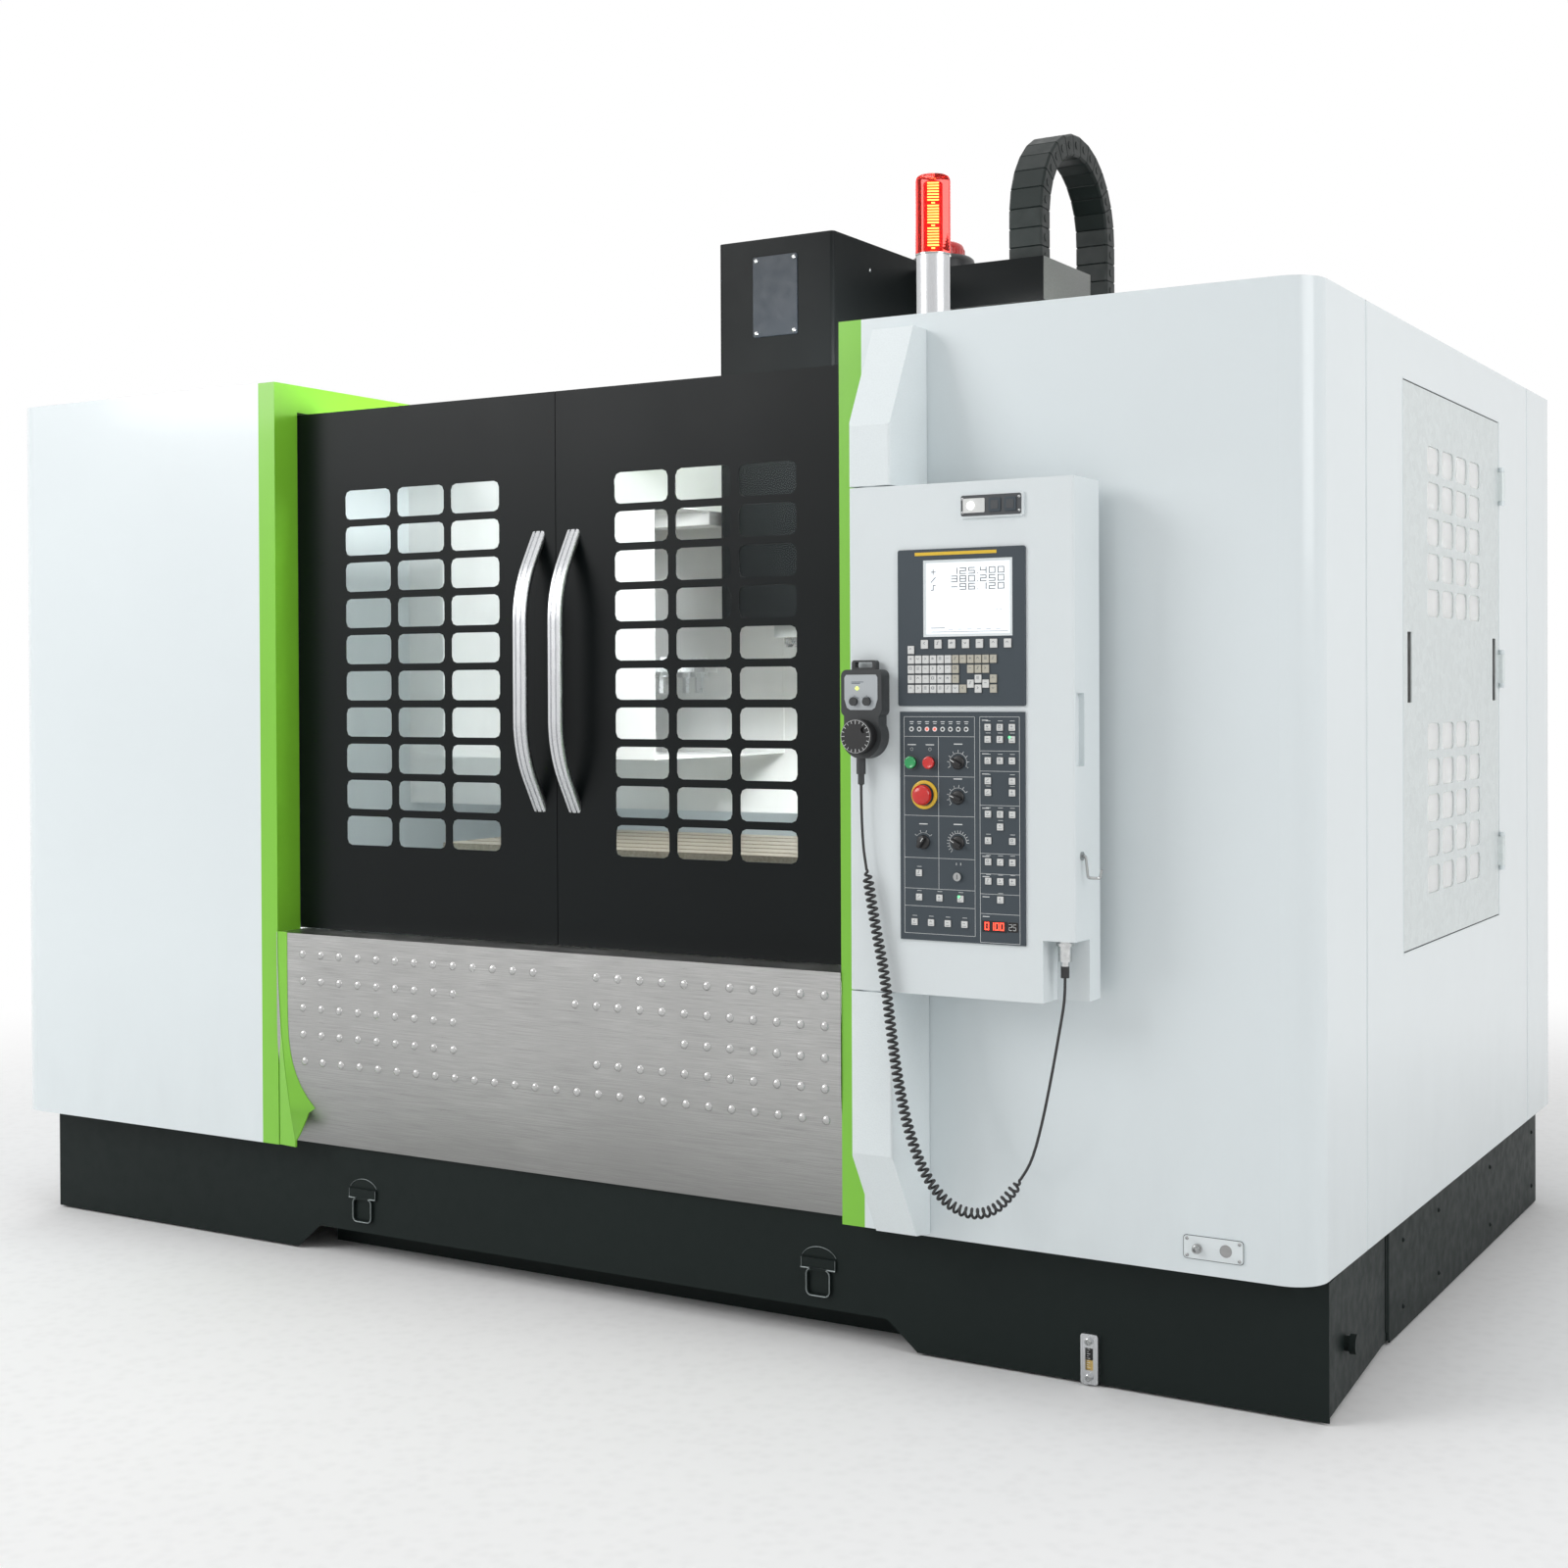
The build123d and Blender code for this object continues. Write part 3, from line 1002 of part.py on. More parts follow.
def spindle():
    """The spindle: nose flange with drive keys, shaft and the 7 in 24 taper bore."""
    body = post_z(SPINDLE_X, SPINDLE_Y, (SPINDLE_NOSE_Z, SPINDLE_NOSE_Z + 290), SPINDLE_R)
    body += post_z(SPINDLE_X, SPINDLE_Y, (SPINDLE_NOSE_Z, SPINDLE_NOSE_Z + 19), 64)
    taper = Pos(SPINDLE_X, SPINDLE_Y, SPINDLE_NOSE_Z + 50) * Cone(35, 35 - 100 * 7 / 48, 100)
    body -= taper
    for side in (-1, 1):
        key_x = SPINDLE_X + side * 50
        body += block((key_x - 12, key_x + 12), (SPINDLE_Y - 12, SPINDLE_Y + 12),
                      (SPINDLE_NOSE_Z - 8, SPINDLE_NOSE_Z + 1))
    return body


def head_cover():
    """The black head cover, folded round the head, and the cable tray welded behind it."""
    x = (OPEN_X - HEAD_COVER_HALF, OPEN_X + HEAD_COVER_HALF)
    y = (HEAD_COVER_FRONT, TRAY_FRONT + SHEET)
    cover = block(x, y, (HEAD_COVER_LOW, HEAD_COVER_TOP))
    cover = fillet(cover.edges().filter_by(Axis.Z).group_by(Axis.Y)[0], 12)
    cover -= block((x[0] + SHEET, x[1] - SHEET), (y[0] + SHEET, y[1] + 1), (HEAD_COVER_LOW - 1, HEAD_COVER_TOP - SHEET))
    tray_x = (x[0], TRAY_RIGHT)
    tray_y = (TRAY_FRONT, TRAY_BACK)
    tray = block(tray_x, tray_y, (TRAY_LOW, TRAY_TOP))
    tray -= block((tray_x[0] + SHEET, tray_x[1] - SHEET), (tray_y[0] + SHEET, tray_y[1] - SHEET),
                  (TRAY_LOW + SHEET, TRAY_TOP + 1))
    return cover + tray


def cable_chain():
    """The cable chain: a thin inner band and link plates along both legs and round the arch."""
    middle_y = (CHAIN_FRONT + CHAIN_BACK) / 2
    outer = (CHAIN_BACK - CHAIN_FRONT) / 2
    inner = outer - CHAIN_T
    x = (CHAIN_LEFT + 4, CHAIN_RIGHT - 4)
    width = x[1] - x[0]
    ring = Plane.YZ * (Circle(outer - 5) - Circle(inner + 5))
    arch = Pos(x[0], middle_y, CHAIN_ARCH_Z) * extrude(ring, width)
    arch -= block((x[0] - 1, x[1] + 1), (CHAIN_FRONT - 9, CHAIN_BACK + 9), (CHAIN_ARCH_Z - 400, CHAIN_ARCH_Z))
    front = (CHAIN_FRONT + 5, CHAIN_FRONT + CHAIN_T - 5)
    back = (CHAIN_BACK - CHAIN_T + 5, CHAIN_BACK - 5)
    chain = arch + block(x, front, (TRAY_LOW + SHEET, CHAIN_ARCH_Z + 1))
    chain += block(x, back, (CHAIN_FIXED_Z, CHAIN_ARCH_Z + 1))
    mean = (outer + inner) / 2
    pitch = pi * mean / CHAIN_LINKS
    link = Box(CHAIN_RIGHT - CHAIN_LEFT, CHAIN_T, pitch - 4)
    centre_x = (CHAIN_LEFT + CHAIN_RIGHT) / 2
    for index in range(CHAIN_LINKS):
        turn = (index + 0.5) * 180 / CHAIN_LINKS
        chain += Pos(centre_x, middle_y, CHAIN_ARCH_Z) * Rot(turn, 0, 0) * Pos(0, mean, 0) * link
    for leg_y, low in ((middle_y - mean, TRAY_LOW + SHEET), (middle_y + mean, CHAIN_FIXED_Z)):
        count = int((CHAIN_ARCH_Z - low) / pitch)
        for index in range(count):
            chain += Pos(centre_x, leg_y, CHAIN_ARCH_Z - (index + 0.5) * pitch) * link
    return chain


def magazine_cover():
    """The tool magazine's housing, open to the spindle, with the slide's guide under its top."""
    cover = block(MAGAZINE_X, MAGAZINE_Y, MAGAZINE_Z)
    cover -= block((MAGAZINE_X[0] + SHEET, MAGAZINE_X[1] + 1), (MAGAZINE_Y[0] + SHEET, MAGAZINE_Y[1] - SHEET),
                   (MAGAZINE_Z[0] + SHEET, MAGAZINE_Z[1] - SHEET))
    guide_z = (MAGAZINE_Z[1] - 43, MAGAZINE_Z[1] - SHEET)
    return cover + block((MAGAZINE_X[0] + SHEET, MAGAZINE_X[1]), (SPINDLE_Y - 50, SPINDLE_Y + 50), guide_z)


def magazine_slide():
    """The slide that carries the carousel, hung from the guide, with its stub axle."""
    top = MAGAZINE_Z[1] - 43 - SEAT
    body = block((CAROUSEL_X - 95, CAROUSEL_X + 75), (SPINDLE_Y - 90, SPINDLE_Y + 90), (HUB_TOP + SEAT, top))
    for side in (-1, 1):
        cheek_y = sorted((SPINDLE_Y + side * (50 + RUNNING), SPINDLE_Y + side * 90))
        body += block((CAROUSEL_X - 95, CAROUSEL_X + 75), cheek_y, (top - 1, top + 30))
    return body + post_z(CAROUSEL_X, SPINDLE_Y, (CAROUSEL_Z[0] - 6, HUB_TOP + 2), STUB_R)


def carousel():
    """The tool carousel: disc, hub and tool holders in all pockets but the one at the spindle."""
    disc = post_z(CAROUSEL_X, SPINDLE_Y, CAROUSEL_Z, CAROUSEL_R)
    disc += post_z(CAROUSEL_X, SPINDLE_Y, (CAROUSEL_Z[1] - 1, HUB_TOP), 60)
    disc -= post_z(CAROUSEL_X, SPINDLE_Y, (CAROUSEL_Z[0] - 1, HUB_TOP + 1), STUB_R + FIT)
    holder = Pos(0, 0, -30) * extrude(RegularPolygon(28, 10), 60)
    holder += Pos(0, 0, -80) * extrude(RegularPolygon(12, 6), 60)
    notch = Cylinder(30, 80) + Pos(40, 0, 0) * Box(80, 60, 80)
    for index in range(POCKET_COUNT):
        turn = index * 360 / POCKET_COUNT
        place = Pos(CAROUSEL_X, SPINDLE_Y, CAROUSEL_Z[0] + 15) * Rot(0, 0, turn) * Pos(POCKET_R, 0, 0)
        if index:
            disc += place * holder
        else:
            disc -= place * notch
    return disc


def electrical_cabinet():
    """The cabinet on the rear panel, open to the rear, with the pins of its door."""
    back = CABINET_BACK - CABINET_DOOR_T - SIDE_CLEARANCE
    body = block(CABINET_X, (HOUSING_BACK, back), CABINET_Z)
    body -= block((CABINET_X[0] + SHEET, CABINET_X[1] - SHEET), (HOUSING_BACK + SHEET, back + 1),
                  (CABINET_Z[0] + SHEET, CABINET_Z[1] - SHEET))
    body += block((CABINET_X[0] + 80, CABINET_X[1] - 80), (HOUSING_BACK + SHEET, HOUSING_BACK + 12),
                  (CABINET_Z[0] + 80, CABINET_Z[1] - 80))
    for low in cabinet_hinge_heights():
        body += cabinet_hinge(low)[0]
    return body


def cabinet_hinge_heights():
    """Where the two hinges of the cabinet door start."""
    return [CABINET_Z[0] + 200, CABINET_Z[1] - 300]


def cabinet_hinge(low):
    """One hinge of the cabinet door."""
    x = CABINET_X[1] + 9
    y = CABINET_BACK - CABINET_DOOR_T - SIDE_CLEARANCE / 2
    pin, sleeve = upright_hinge(x, y, (low, low + 100), 4, 7)
    for z in (low, low + 88):
        pin += block((CABINET_X[1] - SHEET, x), (y - 7, y - 1.5), (z, z + 12))
    leaf = block((CABINET_X[1] - SHEET, x), (y + 4.5, y + 7), (low + 12 + SEAT, low + 88 - SEAT))
    return pin, sleeve + leaf


def cabinet_door():
    """The cabinet's door: a folded sheet with a turn handle."""
    y = (CABINET_BACK - CABINET_DOOR_T, CABINET_BACK)
    door_sheet = block(CABINET_X, y, CABINET_Z)
    door_sheet -= block((CABINET_X[0] + SHEET, CABINET_X[1] - SHEET), (y[0] - 1, y[1] - SHEET),
                        (CABINET_Z[0] + SHEET, CABINET_Z[1] - SHEET))
    middle = (CABINET_Z[0] + CABINET_Z[1]) / 2
    door_sheet += block((CABINET_X[0] + 40, CABINET_X[0] + 64), (y[1] - 1, y[1] + 22), (middle - 60, middle + 60))
    for low in cabinet_hinge_heights():
        door_sheet += cabinet_hinge(low)[1]
    return door_sheet


def levelling_feet():
    """The eight levelling feet under the bed, each a pad and its screw."""
    feet = []
    for side in (-1, 1):
        for index in range(4):
            y = BED_FRONT + 100 + index * (BED_BACK - BED_FRONT - 200) / 3
            x = OPEN_X + side * (BED_FOOT_HALF - 80)
            screw = Pos(x, y, 27) * extrude(RegularPolygon(18, 6), BED_LOW - 27)
            feet.append(post_z(x, y, (0, 28), 50) + screw)
    return feet


pin, flap = skirt_flap()
save("base_skirt", base_skirt() + pin)
save("skirt_flap", flap)
save("coolant_tank", coolant_tank())
save("oil_gauge", oil_gauge())
save("housing_left", housing_left())
save("housing_right_front", housing_right_front())
save("housing_right_side", housing_right_side())
save("rear_panel", rear_panel())
save("inner_wall", *inner_wall())
save("side_door", side_door())
save("side_glass", *side_glass())
save("post_left", post(OPEN_LEFT, -1))
save("post_right", post(OPEN_RIGHT, 1))
save("sill", sill())
save("door_rail", door_rail())
for side, word in ((-1, "left"), (1, "right")):
    save(f"door_{word}", door(side))
    save(f"glass_{word}", door_glass(side))
    save(f"handle_{word}", door_handle(side))

save("panel_brackets", *panel_brackets())
save("panel_box", panel_box())
save("display_unit", display_unit())
save("screen", screen())
save("operator_unit", operator_unit())
save("panel_keys", *panel_keys())
save("side_hook", side_hook())
save("connector", connector())
save("stop_button", emergency_stop())
save("key_switch", key_switch())
for (x, z), word in zip(BUTTON_AT, ("start", "halt")):
    save(f"{word}_button", push_button(x, z))
for (x, z), word in zip(ROTARY_AT, ("mode", "spindle", "rapid", "feed")):
    save(f"{word}_switch", rotary_switch(x, z))
save("pendant", pendant())
save("pendant_dial", pendant_dial())
save("cord_top", cord_tube(TOP_ROUTE, CORD_R))
save("cord_coil", cord_tube(COIL_ROUTE, COIL_R))
save("cord_tail", cord_tube(TAIL_ROUTE, CORD_R))
save("lamp_stem", lamp_stem())
save("lamp_lens", lamp_lens())
save("bed", bed())
save("linear_rails", *linear_rails())
save("column", column())
save("axis_motors", *axis_motors())
save("saddle", saddle())
save("table", *table())
save("spindle_head", spindle_head())
save("spindle", spindle())
save("head_cover", head_cover())
save("cable_chain", cable_chain())
save("magazine_cover", magazine_cover())
save("magazine_slide", magazine_slide())
save("carousel", carousel())
save("electrical_cabinet", electrical_cabinet())
save("cabinet_door", cabinet_door())
save("levelling_feet", *levelling_feet())
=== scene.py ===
import random
from math import atan2, cos, pi, radians, sin, sqrt, tan

import bmesh
import bpy
from mathutils import Matrix, Vector


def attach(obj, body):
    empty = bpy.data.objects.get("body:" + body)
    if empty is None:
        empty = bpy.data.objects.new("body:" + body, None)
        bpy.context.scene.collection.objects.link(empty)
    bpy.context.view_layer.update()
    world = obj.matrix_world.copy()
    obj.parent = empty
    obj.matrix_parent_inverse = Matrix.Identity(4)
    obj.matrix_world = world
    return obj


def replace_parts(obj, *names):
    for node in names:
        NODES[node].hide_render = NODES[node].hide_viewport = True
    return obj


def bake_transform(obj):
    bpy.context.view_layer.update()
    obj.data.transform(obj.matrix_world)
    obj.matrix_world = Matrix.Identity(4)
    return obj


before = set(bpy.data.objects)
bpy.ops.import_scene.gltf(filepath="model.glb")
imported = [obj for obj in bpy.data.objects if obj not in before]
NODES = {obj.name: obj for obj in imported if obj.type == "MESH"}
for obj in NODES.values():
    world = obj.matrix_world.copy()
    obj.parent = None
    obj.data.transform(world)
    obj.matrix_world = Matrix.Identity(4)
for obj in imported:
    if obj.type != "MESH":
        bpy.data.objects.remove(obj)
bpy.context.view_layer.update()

# The part's own shape is modelled with Y counted from the skirt's front face.
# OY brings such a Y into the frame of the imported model.
OY = -1.184


# Materials

class Nodes:
    """A short way to build a node tree."""

    def __init__(self, tree):
        self.tree = tree

    def add(self, kind, inputs=None, **settings):
        """A node; an input is a number, a tuple or what another socket puts out."""
        node = self.tree.nodes.new(kind)
        for key, value in settings.items():
            setattr(node, key, value)
        for key, value in (inputs or {}).items():
            socket = node.inputs[key]
            if isinstance(value, tuple):
                socket.default_value = (*value, 1.0)[:len(socket.default_value)]
            elif isinstance(value, (int, float)):
                socket.default_value = value
            else:
                self.link(value, socket)
        return node

    def link(self, a, b):
        self.tree.links.new(a, b)

    def mapped(self, scale):
        return self.add("ShaderNodeMapping", {"Scale": scale, "Vector": self.coord}).outputs["Vector"]

    def noise(self, scale, detail=3.0, rough=0.55, stretch=(1, 1, 1)):
        inputs = {"Scale": scale, "Detail": detail, "Roughness": rough, "Vector": self.mapped(stretch)}
        return self.add("ShaderNodeTexNoise", inputs).outputs["Fac"]

    def cells(self, scale):
        return self.add("ShaderNodeTexVoronoi", {"Scale": scale, "Vector": self.mapped((1, 1, 1))}).outputs

    def span(self, value, low=0.3, high=0.7, out_low=0.0, out_high=1.0):
        inputs = {"Value": value, "From Min": low, "From Max": high, "To Min": out_low, "To Max": out_high}
        return self.add("ShaderNodeMapRange", inputs).outputs["Result"]

    def math(self, kind, a, b):
        return self.add("ShaderNodeMath", {0: a, 1: b}, operation=kind).outputs[0]

    def part(self, axis):
        return self.add("ShaderNodeSeparateXYZ", {0: self.coord}).outputs[axis]

    def mix(self, fac, a, b):
        return self.add("ShaderNodeMix", {0: fac, 6: a, 7: b}, data_type="RGBA").outputs[2]

    def colour(self, value):
        self.link(value, self.shader.inputs["Base Color"])

    def rough(self, value):
        self.link(value, self.shader.inputs["Roughness"])

    def bump(self, height, strength, distance=0.001):
        node = self.add("ShaderNodeBump", {"Strength": strength, "Distance": distance, "Height": height})
        before = self.shader.inputs["Normal"].links
        if before:
            self.link(before[0].from_socket, node.inputs["Normal"])
        self.link(node.outputs["Normal"], self.shader.inputs["Normal"])

    def set(self, **values):
        for key, value in values.items():
            self.shader.inputs[key.replace("_", " ")].default_value = value


class Material(Nodes):
    """One procedural material in the object's own coordinates."""

    def __init__(self, name):
        self.mat = bpy.data.materials.new(name)
        self.mat.use_nodes = True
        super().__init__(self.mat.node_tree)
        self.shader = self.tree.nodes["Principled BSDF"]
        self.coord = self.add("ShaderNodeTexCoord").outputs["Object"]


def shade(colour, factor):
    return tuple(min(1.0, c * factor) for c in colour)


def paint(name, colour, rough=0.3, peel=0.05, grain=320.0, mottle=0.04, coat=0.0, low_darkening=0.0, shine=0.5):
    """Sprayed paint: faint orange peel, slow colour drift, and cloudy darkening towards the bottom."""
    n = Material(name)
    drift = n.noise(1.7, 4.0)
    speck = n.noise(900.0, 1.0)
    tone = n.mix(n.span(drift, 0.35, 0.65), shade(colour, 1 - mottle), shade(colour, 1 + mottle * 0.4))
    tone = n.mix(n.span(speck, 0.3, 0.7, 0.0, 0.08), tone, shade(colour, 0.9))
    # Darker in cloudy patches towards the bottom, below about 0.75 m.
    if low_darkening:
        low = n.span(n.part("Z"), 0.3, 0.75, low_darkening, 0.0)
        low_clouds = n.math("MULTIPLY", low, n.span(n.noise(6.0, 5.0, 0.6, (1, 1, 0.3)), 0.35, 0.7, 0.2, 1.0))
        tone = n.mix(low_clouds, tone, shade(colour, 0.72))
    n.colour(tone)
    n.rough(n.span(n.noise(5.0, 4.0), 0.3, 0.7, rough - 0.02, rough + 0.03))
    n.bump(n.noise(grain, 2.0), peel, 0.0006)
    n.bump(n.noise(1.3, 1.0), 0.02, 0.006)
    n.set(Coat_Weight=coat, Coat_Roughness=0.08, Specular_IOR_Level=shine)
    return n.mat


def cover_paint(name):
    """Black paint on the head's sheets; the tray's end plate, which faces the right, is painted a lighter
    grey as painted sheen.
    """
    n = Material(name)
    black = (0.0042, 0.0052, 0.0054)
    tone = n.mix(n.span(n.noise(1.7, 4.0), 0.35, 0.65), shade(black, 0.8), shade(black, 1.1))
    # Painted sheen: the right-facing end plate of the tray gets a lighter grey colour where light from the
    # right falls on it.
    bare = n.math("GREATER_THAN", n.part("X"), TRAY_RIGHT - 0.0007)
    sheen_grey = n.mix(n.span(n.noise(260.0, 3.0)), (0.17, 0.178, 0.17), (0.25, 0.26, 0.25))
    n.colour(n.mix(bare, tone, sheen_grey))
    n.rough(n.span(n.noise(5.0, 4.0), 0.3, 0.7, 0.36, 0.43))
    n.bump(n.noise(320.0, 2.0), 0.05, 0.0006)
    n.set(Specular_IOR_Level=0.11)
    return n.mat


def plug_metal(name):
    """Bright nickel above, with the black rubber boot of the cord below."""
    n = Material(name)
    boot = n.math("LESS_THAN", n.part("Z"), BOOT_TOP)
    wear = n.span(n.noise(60.0, 3.0))
    nickel = n.mix(wear, (0.5, 0.51, 0.51), (0.7, 0.71, 0.71))
    n.colour(n.mix(boot, nickel, (0.02, 0.02, 0.021)))
    n.link(n.math("SUBTRACT", 1.0, boot), n.shader.inputs["Metallic"])
    n.rough(n.span(n.noise(30.0, 3.0), 0.3, 0.7, 0.18, 0.34))
    n.bump(n.noise(400.0, 2.0), 0.05, 0.0004)
    return n.mat


def textured(name, colour, rough=0.5, grain=700.0, depth=0.35, mottle=0.08, shine=0.5):
    """Powder coat or moulded plastic with a fine pebbled skin."""
    n = Material(name)
    pebble = n.cells(grain)["Distance"]
    cloud = n.noise(2.5, 5.0)
    tone = n.mix(n.span(cloud), shade(colour, 1 - mottle), shade(colour, 1 + mottle))
    tone = n.mix(n.span(pebble, 0.0, 0.6, 0.0, 0.35), tone, shade(colour, 1.12))
    n.colour(tone)
    n.rough(n.span(n.noise(30.0, 3.0), 0.3, 0.7, rough - 0.06, rough + 0.08))
    n.bump(pebble, depth, 0.0004)
    n.set(Specular_IOR_Level=shine)
    return n.mat


def metal(name, colour, rough=0.3, along=(1, 1, 1), grain=60.0, depth=0.08, mottle=0.12, metallic=1.0):
    """Brushed or ground metal; along is small in the direction that the strokes run."""
    n = Material(name)
    stroke = n.noise(grain, 6.0, 0.6, along)
    cloud = n.noise(3.0, 4.0)
    tone = n.mix(n.span(stroke), shade(colour, 1 - mottle), shade(colour, 1 + mottle))
    tone = n.mix(n.span(cloud, 0.35, 0.65, 0.0, 0.3), tone, shade(colour, 0.8))
    n.colour(tone)
    n.rough(n.span(stroke, 0.3, 0.7, rough - 0.06, rough + 0.08))
    n.bump(stroke, depth, 0.0004)
    n.set(Metallic=metallic)
    return n.mat


def casting(name, colour, rough=0.55):
    """A painted casting: sand texture under the paint and oily stains."""
    n = Material(name)
    sand = n.noise(240.0, 4.0)
    stain = n.noise(5.0, 6.0, 0.65)
    tone = n.mix(n.span(sand), shade(colour, 0.94), shade(colour, 1.04))
    tone = n.mix(n.span(stain, 0.5, 0.75, 0.0, 0.5), tone, shade(colour, 0.7))
    n.colour(tone)
    n.rough(n.span(stain, 0.3, 0.7, rough + 0.1, rough - 0.15))
    n.bump(sand, 0.35, 0.0012)
    return n.mat


def clear(name, tint, rough=0.03, transmission=1.0, ior=1.45):
    """Clear sheet with a trace of wiping marks."""
    n = Material(name)
    wipe = n.noise(18.0, 5.0, 0.6, (1, 1, 0.25))
    n.colour(n.mix(n.span(wipe, 0.4, 0.7, 0.0, 0.35), tint, shade(tint, 0.93)))
    n.rough(n.span(wipe, 0.4, 0.75, rough, rough + 0.05))
    n.set(Transmission_Weight=transmission, IOR=ior)
    return n.mat


def glow(name, colour, strength, dark=(0.02, 0.02, 0.02)):
    """A lit lamp or display: the light dips a little between its cells."""
    n = Material(name)
    cell = n.noise(500.0, 2.0)
    n.colour(n.mix(n.span(cell, 0.3, 0.7, 0.0, 0.3), shade(colour, 0.8), dark))
    light = n.mix(n.span(cell, 0.2, 0.8, 0.0, 0.25), colour, shade(colour, 0.6))
    n.link(light, n.shader.inputs["Emission Color"])
    n.set(Emission_Strength=strength, Roughness=0.3)
    return n.mat


def galvanised(name, colour):
    """Sheet with the large crystals that hot zinc leaves."""
    n = Material(name)
    flake = n.math("MULTIPLY", n.cells(55.0)["Color"], 1.0)
    fine = n.cells(140.0)["Distance"]
    tone = n.mix(n.span(flake, 0.0, 1.0), shade(colour, 0.93), shade(colour, 1.05))
    tone = n.mix(n.span(fine, 0.0, 0.5, 0.0, 0.25), tone, shade(colour, 0.86))
    n.colour(tone)
    n.rough(n.span(fine, 0.0, 0.5, 0.24, 0.42))
    n.bump(n.noise(130.0, 2.0), 0.3, 0.0012)
    n.set(Metallic=0.25)
    return n.mat


def sill_sheet(name):
    """Brushed stainless sheet with fine strokes, darker near its foot as painted shade where the face curves
    back and down.
    """
    n = Material(name)
    stroke = n.noise(26.0, 8.0, 0.65, (0.3, 1.0, 26.0))
    cloud = n.noise(2.2, 5.0, 0.6)
    steel = n.mix(n.span(stroke), (0.3, 0.3, 0.295), (0.6, 0.6, 0.59))
    steel = n.mix(n.span(cloud, 0.35, 0.7, 0.0, 0.5), steel, (0.36, 0.36, 0.355))
    # Painted shade: the colour darkens towards the foot, where the face turns away from the light.
    low = n.span(n.part("Z"), 0.3, 0.85, 0.45, 0.0)
    steel = n.mix(low, steel, (0.27, 0.27, 0.265))
    n.colour(steel)
    n.set(Metallic=1.0)
    n.rough(n.span(stroke, 0.3, 0.7, 0.26, 0.44))
    n.bump(stroke, 0.06, 0.0004)
    return n.mat


TRAY_RIGHT = 0.585
BOOT_TOP = 0.932

